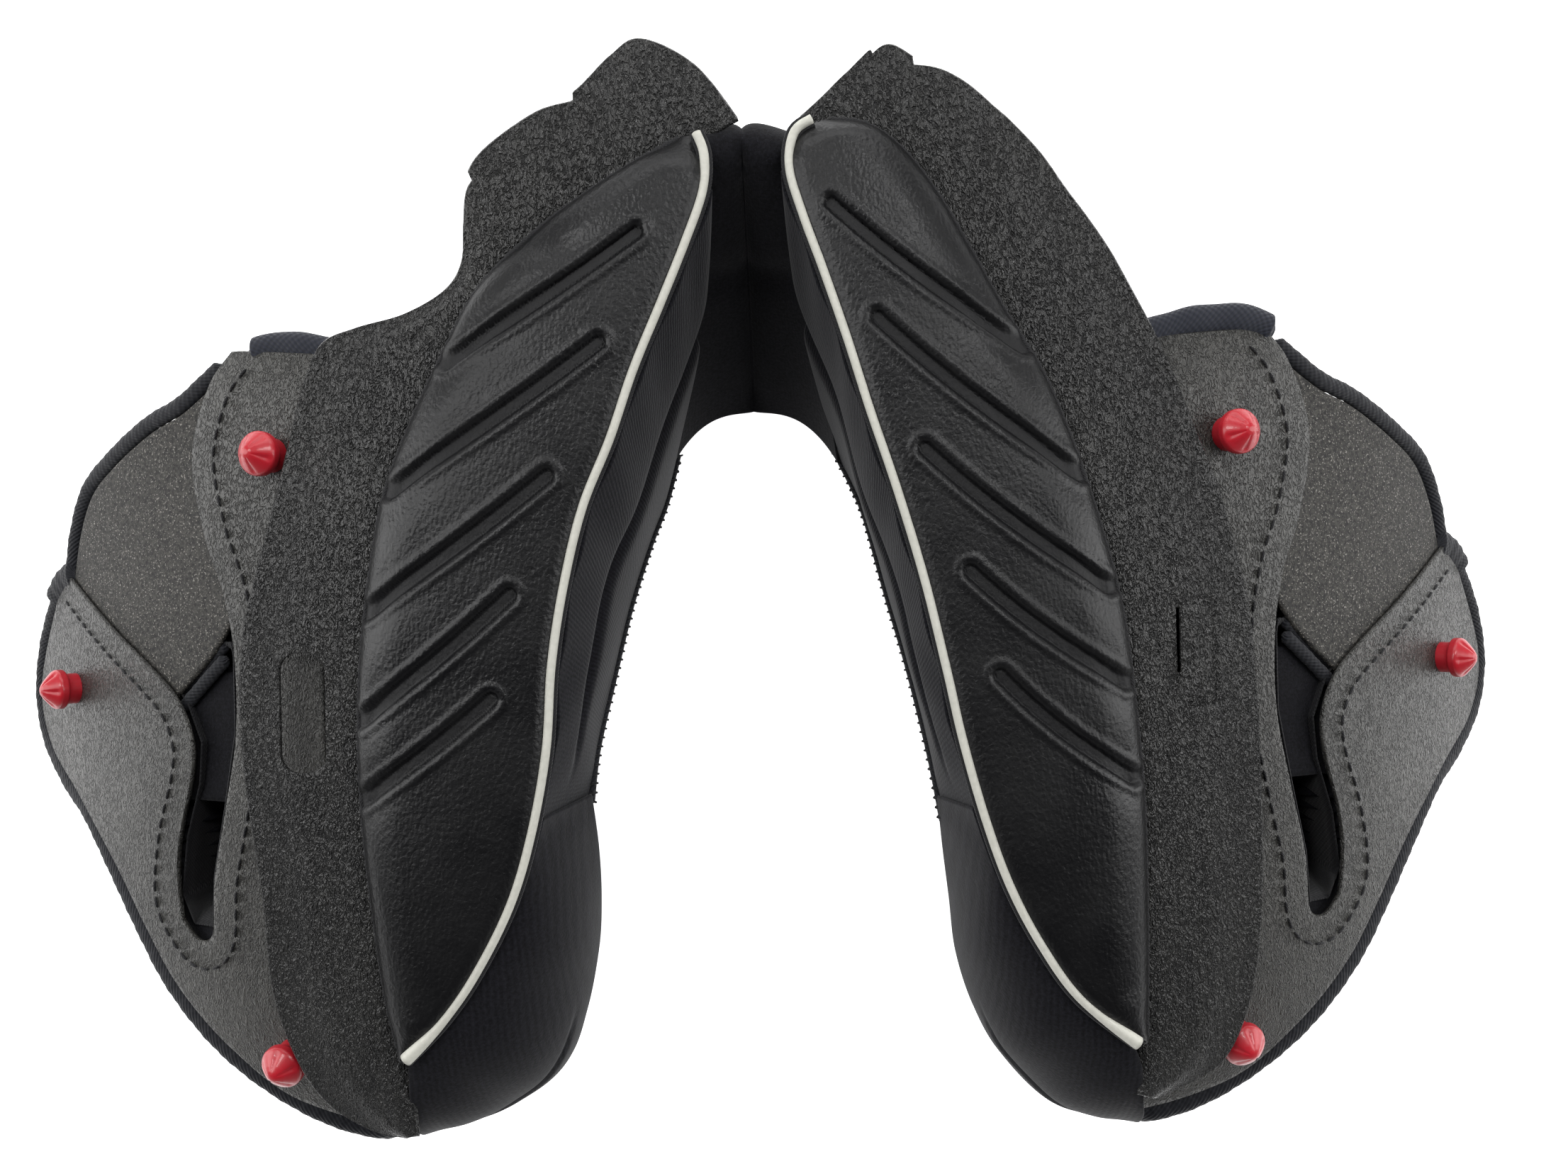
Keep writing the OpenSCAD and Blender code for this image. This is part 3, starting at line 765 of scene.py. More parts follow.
for side in SIDES:
    face, pressed = leather_face(side)
    piece = sheet_of(f"leather_face_{side}", face, LEATHER_THICK, side)
    # The channel mark makes the leather duller there and darker in colour: painted shade.
    store_mark(piece, "pressed", pressed)
    dress(piece, leather, f"{side}_pad", [f"leather_panel_{side}"])
    print(piece.name, len(piece.data.polygons), "faces")

# %% [markdown]
# ## Piping
# The piping is a covered cord sewn into the inner seam. It follows the leather's edge, curls
# round the rear tip and ends square at the front, where it is pinched flat. Beside it lie two
# thin dark seam lines.

# %% Piping
PIPING_RADIUS = 1.15


def piping_path(side, out=0.0, z=ROLL_Z - 1.3):
    """The piping line moved a little inwards from the leather's edge."""
    return with_z(beside(even(curve(PIPING[side], 600), 260), -out), z)


for side in SIDES:
    path = piping_path(side, 0.9)
    s = np.linspace(0, 1, len(path))
    widen = 1 + 0.45 * smooth((s - 0.93) / 0.07)
    section = oval(PIPING_RADIUS, PIPING_RADIUS, 18)
    piece = sweep(f"piping_cord_{side}", path, section, side, taper=widen)
    dress(piece, piping_cord, f"{side}_pad", [f"piping_{side}"])
    for name, out, radius in (("inner", 2.3, 0.55), ("outer", -0.5, 0.4)):
        path = piping_path(side, out, ROLL_Z - 1.7)
        seam = sweep(f"piping_seam_{name}_{side}", path, oval(radius, radius, 8), side)
        dress(seam, thread, f"{side}_pad")
print("piping length", round(along(piping_path("right"))[-1]), "mm")

# %% [markdown]
# ## Edge strips
# A flexible sheet is sewn to the outer seam of each roll and tucks behind the helmet's rim.
# It is one sheet from the wide rear lobe to the narrow front end, so one ruled surface makes
# it. The left strip has an open window, and the right one still has its tab in the window,
# held by a pressed outline and parted by a slit.

# %% Strip helpers
STRIP_THICK = 1.2
STRIP_STEPS = {"left": (0.158, 0.262), "right": (0.105, 0.152)}
STRIP_HOLES = {
    "left": ((110.8, -27.5, 11.5, 29.5), 4.6, 10),
    "right": ((104.3, -14.5, 0.9, 16.0), 0.4, 4),
}
HOLE_CUT = (70, 95)
TAB = (108.6, -17.5, 9.5, 25.0)


def rounded_outline(place, radius, steps):
    """Outline of a rounded rectangle, given its middle and its two sizes."""
    x, y, w, h = place
    a = np.linspace(0, np.pi / 2, steps)
    arc = np.stack([np.cos(a), np.sin(a)], -1) * radius
    corners = []
    for k, (sx, sy) in enumerate(((1, 1), (-1, 1), (-1, -1), (1, -1))):
        turn = np.array([[0, -1], [1, 0]])
        bent = arc @ np.linalg.matrix_power(turn.T, k)
        corners.append(bent + [x + sx * (w / 2 - radius), y + sy * (h / 2 - radius)])
    return np.vstack(corners)


def cut_through(piece, outline, side, low, high):
    """Cuts a prism with the given outline out of a piece, and keeps the result as its mesh."""
    count = len(outline)
    rings = np.stack([with_z(outline, low), with_z(outline, high)])
    middle = outline.mean(0)
    flat = np.zeros((2 * count + 2, 2))
    cutter = ring_solid("cutter", rings, [*middle, low], [*middle, high], flat, side)
    modifier = piece.modifiers.new("cut", "BOOLEAN")
    modifier.object = cutter
    modifier.operation = "DIFFERENCE"
    modifier.solver = "EXACT"
    made = piece.evaluated_get(bpy.context.evaluated_depsgraph_get())
    mesh = bpy.data.meshes.new_from_object(made)
    piece.modifiers.clear()
    piece.data = mesh
    bpy.data.objects.remove(cutter)


def strip_face(side, rows=420, columns=46):
    """Ruled from just under the leather to the free edge, with steps and the lobe's waves."""
    seam, edge = curve(STRIP_SEAM[side], rows), curve(STRIP_EDGE[side], rows)
    part = np.linspace(0, 1, rows)[:, None]
    for place in STRIP_STEPS[side]:
        past = (part - place) * rows
        step = 1.8 * smooth(past / 1.5 + 1)
        edge = edge - unit(edge - seam) * step * np.exp(-np.maximum(past, 0) / 9)
    outward = unit(edge - seam)
    seam = seam - outward * 1.6
    v = np.linspace(0, 1, columns)[None, :, None]
    flat = seam[:, None] * (1 - v) + edge[:, None] * v
    v = v[..., 0]
    width = np.linalg.norm(edge - seam, axis=1)[:, None]
    z = SEAM_Z - 1.0 + (STRIP_Z - SEAM_Z + 1.0) * v
    lobe = smooth((0.42 - part) / 0.2)
    phase = 0.6 if side == "left" else 2.4
    z = z + lobe * smooth(v) * (1.6 * np.sin(part * 26 + phase) + 1.2)
    z = z - (1 - lobe) * 0.9 * smooth((v - 0.55) / 0.45)
    z = z - 0.8 * bell(v * width, 2.5)
    return with_z(flat, z)


# %% Build the strips
def press(face, place, depth=0.35, half=0.6):
    """Presses the outline of a tab into the sheet."""
    x, y, w, h = place
    flat = face[..., :2]
    edge_gap = np.maximum(np.abs(flat[..., 0] - x) - w / 2, np.abs(flat[..., 1] - y) - h / 2)
    face = face.copy()
    face[..., 2] -= depth * bell(edge_gap, half)
    return face


for side in SIDES:
    face = strip_face(side)
    if side == "right":
        face = press(face, TAB)
    piece = sheet_of(f"tuck_strip_{side}", face, STRIP_THICK, side)
    cut_through(piece, rounded_outline(*STRIP_HOLES[side]), side, *HOLE_CUT)
    dress(piece, strip_sheet, None, [f"edge_strip_{side}", f"rear_flap_{side}"])
    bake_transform(piece)
    print(piece.name, len(piece.data.polygons), "faces")

# %% [markdown]
# A thick dark stitched cord lies in the seam between the leather and the strip. It is a thin
# tube with a slow ripple, which the needle holes leave.

# %% Seam cords
for side in SIDES:
    line = with_z(beside(even(curve(SEAM[side], 600), 500), 0.4), SEAM_Z - 0.2)
    ripple = 1 + 0.14 * np.sin(along(line) * 2.4)
    piece = sweep(f"seam_cord_{side}", line, oval(1.0, 0.9, 10), side, taper=ripple)
    dress(piece, thread, f"{side}_pad")

# %% [markdown]
# ## Backing plates
# Each plate is a moulded sheet in the shape of a hook: a rear arm beside the roll, a bridge
# at the front, and an arm that runs out to the rim. It stiffens the pad and carries the
# studs. The face is ruled between the slot's edge and the outer edge, and set on the plate
# height. A line of stitching runs 7 mm inside the slot's edge.

# %% Plate lines
PLATE_INNER = [[134, 65], [141, 56], [146.5, 38], [143, 18], [137, 2], [134, -14], [134, -34],
               [138, -54], [142, -72], [143, -86], [147, -89], [152, -86], [157, -78], [155, -63],
               [150, -48], [149, -37], [154, -26], [164, -17.5], [182, -5.5], [201, 8]]
PLATE_OUTER = [[99, 61], [100, 50], [103, 34], [104, 16], [106, 0], [108, -16], [108, -36],
               [108, -56], [107.5, -76], [105, -100], [88.5, -136], [119, -130.5], [139, -117],
               [156, -102], [167.5, -88.5], [180.5, -72.5], [198.5, -55], [215.5, -41], [221, -24],
               [209, 1.5]]
STUD_PLACES = ((121, 37), (199, -24), (120, -116))
PLATE_THICK = 1.2
STITCH_INSET = 7.0


def stitches(name, path, side, pitch=4.4, length=3.2, radius=0.38, sides=8):
    """Small capsules laid end to end along a path, each sunk a little at its ends."""
    s = along(path)
    count = int(s[-1] / pitch)
    t = np.linspace(-1, 1, 7)
    middle = (np.arange(count) + 0.5) * pitch
    place = middle[:, None] + t[None] * length / 2
    core = np.stack([np.interp(place, s, path[:, k]) for k in range(3)], -1)
    core[..., 2] += 0.25 * (1 - t**2) - 0.1
    across, rise = cross_axes(core, axis=1)
    a = angles(sides)
    size = radius * np.sqrt(np.maximum(1 - t**6, 0.02))[None, :, None, None]
    rings = (core[:, :, None] + across[:, :, None] * np.cos(a)[None, None, :, None] * size
             + rise[:, :, None] * np.sin(a)[None, None, :, None] * size)
    index = np.arange(7 * sides).reshape(7, sides)
    wrap = np.concatenate([index, index[:, :1]], axis=1)
    cap = np.array([[0, k, k + 1, k + 1] for k in range(1, sides - 1)])
    one = np.concatenate([quads(wrap), cap, cap[:, [0, 2, 1, 1]] + 6 * sides])
    faces = (one[None] + (np.arange(count) * 7 * sides)[:, None, None]).reshape(-1, 4)
    lengthwise = np.repeat(place, sides, axis=1).reshape(-1)
    flat = np.stack([lengthwise, np.tile(a, count * 7) * radius], -1) * MM
    return add_mesh(name, rings.reshape(-1, 3), faces, flat, side)


# %% Build the plates
for side in SIDES:
    lines = ruled(curve(PLATE_INNER, 420), curve(PLATE_OUTER, 420), 26)
    face = on_plate(lines, -PLATE_THICK / 2)
    piece = sheet_of(f"moulded_plate_{side}", face, PLATE_THICK, side)
    dress(piece, plate_sheet, f"{side}_pad", [f"backing_plate_{side}"])
    line = beside(even(curve(PLATE_INNER, 800), 400), -STITCH_INSET)
    row = stitches(f"plate_stitches_{side}", on_plate(line, 0.15), side)
    dress(row, thread, f"{side}_pad")
    print(piece.name, len(piece.data.polygons), "faces")

# %% [markdown]
# ## Snap studs
# Three red studs on each plate press into the helmet shell. Each is turned: a neck, a head
# with a short straight land, and a blunt cone with folds where the mould closed. The profile
# is a list of radii and heights, carried round the axis, with the cone drawn in by the folds.
# The washers under the plates are the CAD nodes themselves, with a better finish.

# %% Studs
STUD_PROFILE = [[0.01, -1.3], [4.3, -1.3], [4.4, -1.0], [4.4, 2.6], [4.5, 3.2], [4.9, 3.5], [5.4, 3.6],
                [5.62, 3.8], [5.65, 4.2], [5.65, 5.3], [5.5, 5.75], [5.15, 6.2], [4.0, 7.25],
                [2.7, 8.35], [1.5, 9.15], [0.7, 9.45], [0.01, 9.5]]
STUD_FOLDS = 5


def stud_axis(x, y):
    """Normal of the plate at a place: straight up, leaned by the slope of its height."""
    step = 0.5
    lean_x = plate_z(x - step, y) - plate_z(x + step, y)
    lean_y = plate_z(x, y - step) - plate_z(x, y + step)
    return unit(np.array([lean_x, lean_y, 2 * step]))


def stud(name, x, y, side, turn, sides=64):
    """Profile carried round the plate's normal; folds draw the cone in at five angles."""
    profile = even(np.array(STUD_PROFILE), 97)
    a = angles(sides)
    fold = bell(np.mod(a * STUD_FOLDS / (2 * np.pi) + turn, 1) - 0.5, 0.10)
    depth = smooth((profile[:, 1] - 5.6) / 1.2) * smooth((9.6 - profile[:, 1]) / 0.8)
    r = profile[:, :1] * (1 - 0.13 * depth[:, None] * fold[None])
    up = stud_axis(x, y)
    side_axis = unit(np.cross(up, [0.3, 1.0, 0.0]))
    other = np.cross(up, side_axis)
    foot = np.array([x, y, plate_z(x, y)])
    rings = (foot + up * profile[:, None, 1:] + side_axis * (r * np.cos(a))[..., None]
             + other * (r * np.sin(a))[..., None])
    first, last = foot + up * profile[0, 1], foot + up * profile[-1, 1]
    return ring_solid(name, rings, first, last, np.zeros((len(rings) * sides + 2, 2)), side)


for side in SIDES:
    for number, (word, (x, y)) in enumerate(zip(("rear", "outer", "front"), STUD_PLACES)):
        piece = stud(f"snap_stud_{word}_{side}", x, y, side, 0.23 * number)
        dress(piece, stud_nylon, f"{side}_pad", [f"snap_studs_{side}"])
    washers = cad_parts[f"stud_washers_{side}"]
    washers.data.materials.clear()
    washers.data.materials.append(washer_nylon)
print("studs:", 2 * len(STUD_PLACES))

# %% [markdown]
# ## Ear panels and bindings
# A thin padded laminate fills the bay between the two arms of the plate. It dishes slightly.
# Its outer edge is bound with woven tape, and two narrow tapes cross the mouth of the strap
# slot. The rim of the outer arm has a wider binding, rolled over the pad's edge.

# %% Ear panels
EAR_OUTER = [[135, 60], [150, 50.5], [163, 46], [177.5, 39], [189, 31.5], [196, 20], [200, 6]]
EAR_INNER = [[131, 56], [137, 44], [139, 32], [136, 18], [132, 4], [141, -12], [158, -27]]
EAR_RIM = [[138, 62], [151, 53.5], [164, 49], [179.5, 41.5], [192, 33.5], [199, 21.5], [202, 10]]
EAR_TAPES = ([[138.5, -10.5], [147, -17.5], [158, -25.5]],
             [[138.5, -14.5], [145.5, -20.5], [154.5, -28.5]])
EAR_THICK = 1.4
EAR_BELOW = 2.3

for side in SIDES:
    outer, inner = (even(curve(line, 300), 130) for line in (EAR_OUTER, EAR_INNER))
    face = on_plate(ruled(outer, inner, 60), -EAR_BELOW)
    r, c = shares(130, 60)
    face[..., 2] -= 1.1 * np.sin(np.pi * r) * np.sin(np.pi * c)
    piece = sheet_of(f"ear_laminate_{side}", face, EAR_THICK, side)
    dress(piece, ear_cloth, f"{side}_pad", [f"ear_panel_{side}"])


# %% Bindings
def end_fade(s, reach, least):
    """Taper near both ends of a tube, so that they are not cut off square."""
    return np.sqrt(np.clip(np.minimum(s, s[-1] - s) / reach, least, 1))


def binding(name, line, width, height, below, side, nodes, count=260):
    """A flattened tube of tape on the plate's edge, with a slow pucker along it."""
    path = on_plate(even(curve(line, 600), count), -below)
    s = along(path)
    ripple = 1 + 0.025 * np.sin(s * 1.9) + 0.02 * np.sin(s * 0.73 + 1)
    taper = ripple * end_fade(s, 1.5, 0.15)
    piece = sweep(name, path, oval(width / 2, height / 2, 22), side, taper=taper)
    return dress(piece, binding_tape, f"{side}_pad", nodes)


ARM_RIM = [[205, 8], [212.5, -1], [219.5, -13], [222.5, -27], [218, -40.5], [206, -52],
           [194, -60.5], [181, -75], [169, -90], [158, -103], [141.5, -118], [121, -131.5],
           [106.5, -138], [97, -138.8], [86, -133.5]]
ARM_FOLD = [[199.5, 8.6], [203.5, 7.2], [208, 3.6], [210.5, 0.2]]
WRAP_LINE = {
    "left": [[100, 61, 72.6], [111, 64, 70.2], [121, 65.4, 67.6], [129, 64, 65.6]],
    "right": [[100, 62, 72.3], [115, 66.3, 69.2], [129, 67.2, 66], [137, 64.5, 63.8]],
}

for side in SIDES:
    binding(f"ear_edge_tape_{side}", EAR_RIM, 4.6, 3.0, 2.4, side, [f"ear_binding_{side}"])
    for number, line in enumerate(EAR_TAPES):
        nodes = [f"ear_tape_{side}"] if number == 0 else []
        binding(f"slot_tape_{number}_{side}", line, 3.6, 2.2, 3.4, side, nodes, count=60)
    binding(f"arm_edge_tape_{side}", ARM_RIM, 5.6, 3.8, 2.2, side, [f"arm_binding_{side}"], count=420)
    lower = beside(even(curve(ARM_RIM, 600), 400), -0.6)
    binding(f"arm_lower_tape_{side}", lower, 8.6, 4.4, 4.3, side, [], count=420)
    binding(f"arm_end_fold_{side}", ARM_FOLD, 10.5, 5.4, 2.6, side, [], count=80)
    path = even(curve(WRAP_LINE[side], 300), 120)
    s = along(path)
    taper = end_fade(s, 2.0, 0.2) * (1 + 0.03 * np.sin(s * 0.5))
    piece = sweep(f"rear_wrap_{side}", path, oval(4.3, 3.2, 28), side, taper=taper)
    dress(piece, wrap_cloth, f"{side}_pad", [f"top_wrap_{side}"])
print("bindings made")


# %% [markdown]
# ## Padded bodies
# The foam under the covers is soft, so each body is a closed form with rounded sides. A
# section is a rounded square, carried along the body and stretched between its faces. Close
# to both ends it shrinks along a quarter circle, so the ends are round as well.


# %% Rounded sections
def rounded_square(sides=96, power=0.32):
    """Superellipse in a unit square: the cosine and sine of an angle, raised to a low power."""
    a = angles(sides)
    return tuple(0.5 + 0.5 * np.sign(w) * np.abs(w) ** power for w in (np.cos(a), np.sin(a)))


def end_round(s, radius):
    """Quarter-circle growth from each end of a body, from 0 to 1 within the radius."""
    near = np.clip(np.minimum(s - s[0], s[-1] - s) / radius, 0, 1)
    return np.sqrt(np.clip(1 - (1 - near) ** 2, 0.003, 1))


def ring_body(name, rings, side="right"):
    """Closed body from rings, with each end closed at the middle of its last ring."""
    middle = rings.mean(axis=1)
    flat = np.vstack([grid_map(rings), np.zeros((2, 2))])
    return ring_solid(name, rings, middle[0], middle[-1], flat, side)


def pad_from_rings(name, rings, side, nodes):
    piece = ring_body(name, rings, side)
    dress(piece, plain_knit, f"{side}_pad", nodes)
    return piece


def lofted_pad(name, corners, side, nodes, radius=6.0, tuck=0.9):
    """Body between four corner lines: inner top, outer top, outer low and inner low."""
    u, v = rounded_square()
    top_in, top_out, low_out, low_in = corners
    u, v = u[None, :, None], v[None, :, None]
    rings = ((top_in[:, None] * (1 - u) + top_out[:, None] * u) * v
             + (low_in[:, None] * (1 - u) + low_out[:, None] * u) * (1 - v))
    middle = rings.mean(axis=1, keepdims=True)
    grow = end_round(along(middle[:, 0]), radius)[:, None, None]
    rings = middle + (rings - middle) * (1 - tuck + tuck * grow)
    return pad_from_rings(name, rings, side, nodes)


# %% [markdown]
# The cheek pad's body follows the plate above and the wearer's cheek below. Its upper face
# drops under the roll and sinks in the strap slot. A welt runs round its side.

# %% Cheek pad bodies
FOAM_INNER = [[57, 52], [47, 54], [24, 60], [-4, 63], [-31, 61], [-57, 57], [-66, 51],
              [-88, 53], [-119, 61], [-131, 72]]
FOAM_ROLL = [[57, 72], [31, 86], [-3, 94], [-37, 96.5], [-68, 97.5], [-92, 98.5],
             [-118, 101.5], [-131, 103]]
FOAM_RIM = [[57, 139], [51, 150], [46, 163], [39, 177], [31, 189], [20, 194], [8, 196], [0, 203],
            [-12, 213], [-27, 218], [-39, 215], [-49, 204], [-58, 192], [-72, 179], [-87, 167],
            [-100, 154], [-115, 138], [-126, 121], [-131, 114]]
SLOT_REAR = [[57, 130], [38, 147.5], [18, 144], [2, 138], [-14, 135], [-34, 135], [-54, 139],
             [-72, 143], [-87, 144]]
SLOT_FRONT = [[8, 199], [-5.5, 181], [-17.5, 163], [-26, 153], [-37, 148], [-48, 149],
              [-63, 154], [-78, 156], [-87, 151]]
FOAM_UNDER_PLATE = 3.4
ROLL_BASE = 57.4
SLOT_DEPTH = 28.0
SLOT_FLOOR = 10.0


def across_at(table, y):
    """Reads the x of a line at a given y, from a table that runs from the rear to the front."""
    rows = np.array(table, float)[::-1]
    return np.interp(y, rows[:, 0], rows[:, 1])


def slot_depth(x, y):
    """How far the strap slot sinks: its full depth inside the slot, nothing outside it."""
    inside = smooth((x - across_at(SLOT_REAR, y)) / 2.0) * smooth((across_at(SLOT_FRONT, y) - x) / 2.0)
    ends = smooth((y + 86.5) / 5) * smooth((-9 - y) / 5)
    return SLOT_DEPTH * inside * ends


def cheek_rings(rows=190):
    """Rounded squares across the pad at each y, stretched from the belly to the upper face."""
    y = np.linspace(57, -131, rows)
    u, v = rounded_square(150, 0.30)
    left, right = across_at(FOAM_INNER, y)[:, None], across_at(FOAM_RIM, y)[:, None]
    x = left + (right - left) * u[None]
    y = np.broadcast_to(y[:, None], x.shape)
    top = plate_z(x, y) - FOAM_UNDER_PLATE
    under_roll = smooth((x - across_at(FOAM_ROLL, y)) / 3.0)
    top = ROLL_BASE + (top - ROLL_BASE) * under_roll
    low = np.minimum(belly_z(x, y), top - 3.0)
    top = np.maximum(top - slot_depth(x, y), np.minimum(low + SLOT_FLOOR, top))
    z = low + (top - low) * v[None]
    welt = 1.1 * bell(v - 0.5, 0.10)[None] * np.sign(0.5 - u)[None]
    rings = np.stack([x + welt * (np.abs(u - 0.5) > 0.47)[None], y, z], -1)
    middle = rings.mean(axis=1, keepdims=True)
    grow = end_round(np.linspace(0, 188, rows), 6.0)[:, None]
    for axis, growth in ((2, grow), (0, 0.93 + 0.07 * grow)):
        rings[..., axis] = middle[..., axis] + (rings[..., axis] - middle[..., axis]) * growth
    return rings


for side in SIDES:
    nodes = [f"cheek_foam_{side}", f"cheek_cover_{side}"]
    piece = pad_from_rings(f"cheek_body_{side}", cheek_rings(), side, nodes)
    print(piece.name, len(piece.data.polygons), "faces")

# %% [markdown]
# The roll's core and the neck's core are lofted between their corner lines.

# %% Roll and neck cores
ROLL_INNER = [[19, 80], [22, 66], [26.5, 53], [32, 36.5], [38, 16], [43.5, -9], [46.5, -32],
              [49, -58], [52, -88], [60, -119], [86, -139]]
ROLL_OUTER = [[24, 103], [38, 95], [54, 82], [70, 58], [84, 31], [93, -3], [96, -37], [97, -68],
              [98, -92], [101, -118], [102.5, -133]]
ROLL_TOP_INNER = [[12.5, 106], [15.5, 91], [21.5, 74], [29.5, 51], [38.5, 26], [46.5, -4], [52, -32],
                  [58, -60], [66.5, -81], [78, -99], [88.5, -110]]
ROLL_TOP_OUTER = [[16, 110.5], [33, 101], [49, 86], [67, 60], [80, 31.5], [89, -3], [92, -37], [92, -69],
                  [91, -88], [90.5, -103], [90, -111.5]]
NECK_TOP_OUTER = [[33, 90], [41, 80], [47, 66], [53, 47], [59, 24], [62, -4], [59.8, -31], [55.6, -57]]
NECK_LOW_INNER = [[29, 39, 19], [31, 34, 21], [33, 29, 24], [35, 21, 29], [38, 8, 37],
                  [42.5, -12, 45], [46, -32, 53], [49, -55, 56]]
NECK_LOW_OUTER = [[42, 56, 18], [46, 50, 20], [49, 43, 23], [52, 33, 28], [55, 18, 36],
                  [58, -6, 45], [57, -29, 52], [54, -56, 55]]

for side in SIDES:
    corners = [with_z(curve(ROLL_TOP_INNER, 200), 86.8), with_z(curve(ROLL_TOP_OUTER, 200), 82.6),
               with_z(curve(ROLL_OUTER, 200), 58), with_z(curve(ROLL_INNER, 200), 58)]
    lofted_pad(f"roll_core_{side}", corners, side, [f"roll_foam_{side}"])
    corners = [with_z(curve(ROLL_INNER[:8], 140), 57.2), with_z(curve(NECK_TOP_OUTER, 140), 57.2),
               curve(NECK_LOW_OUTER, 140), curve(NECK_LOW_INNER, 140)]
    lofted_pad(f"neck_core_{side}", corners, side, [f"neck_foam_{side}"])
print("cores made")

# %% [markdown]
# ## Strap slots
# A trough of thin cloth hangs in each slot, so that the chin strap slides through without
# touching the foam. Its section is flat at the bottom and steep at the sides.


# %% Slot linings
def lining_face(rows=120, columns=70):
    """Trough: level floor and steep sides, as a high power of the distance from its middle."""
    y = np.linspace(-10.5, -85.5, rows)[:, None]
    t = np.linspace(0, 1, columns)[None]
    rear, front = across_at(SLOT_REAR, y) + 0.8, across_at(SLOT_FRONT, y) - 0.8
    x = rear + (front - rear) * (0.5 + 0.5 * np.sign(t - 0.5) * np.abs(2 * t - 1) ** 0.55)
    rim = plate_z(x, y) - 2.6
    foam_floor = plate_z(x, y) - FOAM_UNDER_PLATE - SLOT_DEPTH
    floor_z = np.maximum(belly_z(x, y) + SLOT_FLOOR, foam_floor) + 1.6
    ends = smooth((y + 86) / 7) * smooth((-10 - y) / 9)
    shape = 1 - np.abs(2 * t - 1) ** 5
    fold = 0.7 * np.sin(t * 21 + y * 0.12) * shape
    z = rim - (rim - floor_z) * shape * ends + fold * ends
    return np.stack([x, np.broadcast_to(y, x.shape), z], -1)


for side in SIDES:
    face = lining_face()
    piece = sheet_of(f"slot_lining_{side}", face, 0.6, side)
    dress(piece, lining_cloth, f"{side}_pad", [f"strap_lining_{side}"])

# %% [markdown]
# ## Knit walls
# A knit cover falls from the piping to a hem beside the wearer's neck. It is a ruled face
# with one soft crease half-way, where the foam inside ends, and slow pulls from the seam.

# %% Inner walls
HEM = {
    "left": [[23.6, 42, 17.5], [25.6, 34.5, 17], [28, 26, 18.5], [32, 14.5, 24],
             [37, -3.5, 33], [41, -23.5, 43], [44.5, -42, 52], [45.5, -55.5, 58]],
    "right": [[24, 44, 17.5], [26.6, 38, 17], [29.5, 31.5, 19], [33, 21, 25],
              [38, -2, 35], [42.5, -21.5, 44], [47, -45, 53], [49.5, -62.5, 58]],
}
WALL_THICK = 1.0


def wall_face(side, rows=260, columns=80):
    """Ruled from the piping to the hem, bent inwards along a crease, with slow pulls."""
    last = 188 if side == "left" else 186
    top = even(piping_path(side, 2.6, ROLL_Z - 2.6)[14:last], rows)
    low = even(curve(HEM[side], 300), rows)
    face = ruled(top, low, columns)
    s, v = shares(rows, columns)
    crease_at = 0.46 + 0.05 * np.sin(s * 5)
    bend = 2.0 * np.sin(np.pi * v) - 2.6 * bell(v - crease_at, 0.05) * smooth((1 - s) / 0.3)
    bend = bend + 0.35 * np.sin(s * 46 + 2 * np.sin(v * 3)) * bell(v, 0.25)
    bend = bend + 0.5 * np.sin(s * 17 + v * 4) * np.sin(np.pi * v)
    bend = bend * smooth((1 - s) / 0.15) - 0.8 * smooth((s - 0.9) / 0.1)
    out = normals(face)
    out = out * np.sign(-out[..., :1].mean())
    return face + out * bend[..., None]


for side in SIDES:
    face = wall_face(side)
    piece = sheet_of(f"knit_wall_{side}", face, WALL_THICK, side)
    dress(piece, wall_knit, f"{side}_pad", [f"inner_wall_{side}"])

# %% [markdown]
# The wall's hem is overlocked: a rolled edge with thread wound round it at an even pitch.
# The winding is a helix, a circle that moves along the hem as it turns.


# %% Overlocked hems
def overlock(name, path, radius, pitch, side):
    """Helix of thread round a path."""
    turns = along(path)[-1] / pitch
    path = even(path, int(turns * 12))
    across, rise = cross_axes(path)
    a = np.linspace(0, 2 * np.pi * turns, len(path))[:, None]
    helix = path + across * np.cos(a) * radius + rise * np.sin(a) * radius
    piece = sweep(name, helix, oval(0.3, 0.3, 6), side)
    return dress(piece, thread, f"{side}_pad")


for side in SIDES:
    path = even(curve(HEM[side], 300), 220) + [-0.3, -0.3, -1.6]
    piece = sweep(f"hem_roll_{side}", path, oval(1.15, 1.2, 14), side)
    dress(piece, binding_tape, f"{side}_pad", [f"wall_hem_{side}"])
    overlock(f"hem_overlock_{side}", path + [0, 0, 0.2], 1.45, 2.6, side)
print("hems made")

# %% [markdown]
# ## Front lobes
# The front of each roll ends in a soft lobe under ribbed knit. It leaves the roll's edge
# almost level and turns down in a quarter circle, and a plain hem band crosses its front.

# %% Lobe covers
LOBE_TOP = {
    "left": [[51.8, -54, 88], [57.6, -73, 88], [67, -91, 88], [76.5, -103.5, 88], [84.5, -111, 87],
             [86, -117, 85], [86.5, -126, 82]],
    "right": [[52.6, -54, 88], [58.4, -71, 88], [67, -87, 88], [76.5, -100.5, 88], [88, -110.5, 87],
              [92, -117, 85], [93, -124, 82]],
}
LOBE_LOW = {
    "left": [[44.8, -53.5, 59], [44.4, -69, 52], [45, -84, 46], [46, -98, 46], [50, -116, 46],
             [56.5, -129.5, 46], [66, -136.5, 46], [77, -140.5, 46], [88, -141.5, 50]],
    "right": [[47.8, -56, 59], [49.8, -71, 52], [52, -86, 46], [53.5, -101, 46], [58, -116, 46],
              [65, -128, 46], [75, -139, 46], [86, -143, 46], [97, -143.5, 50]],
}


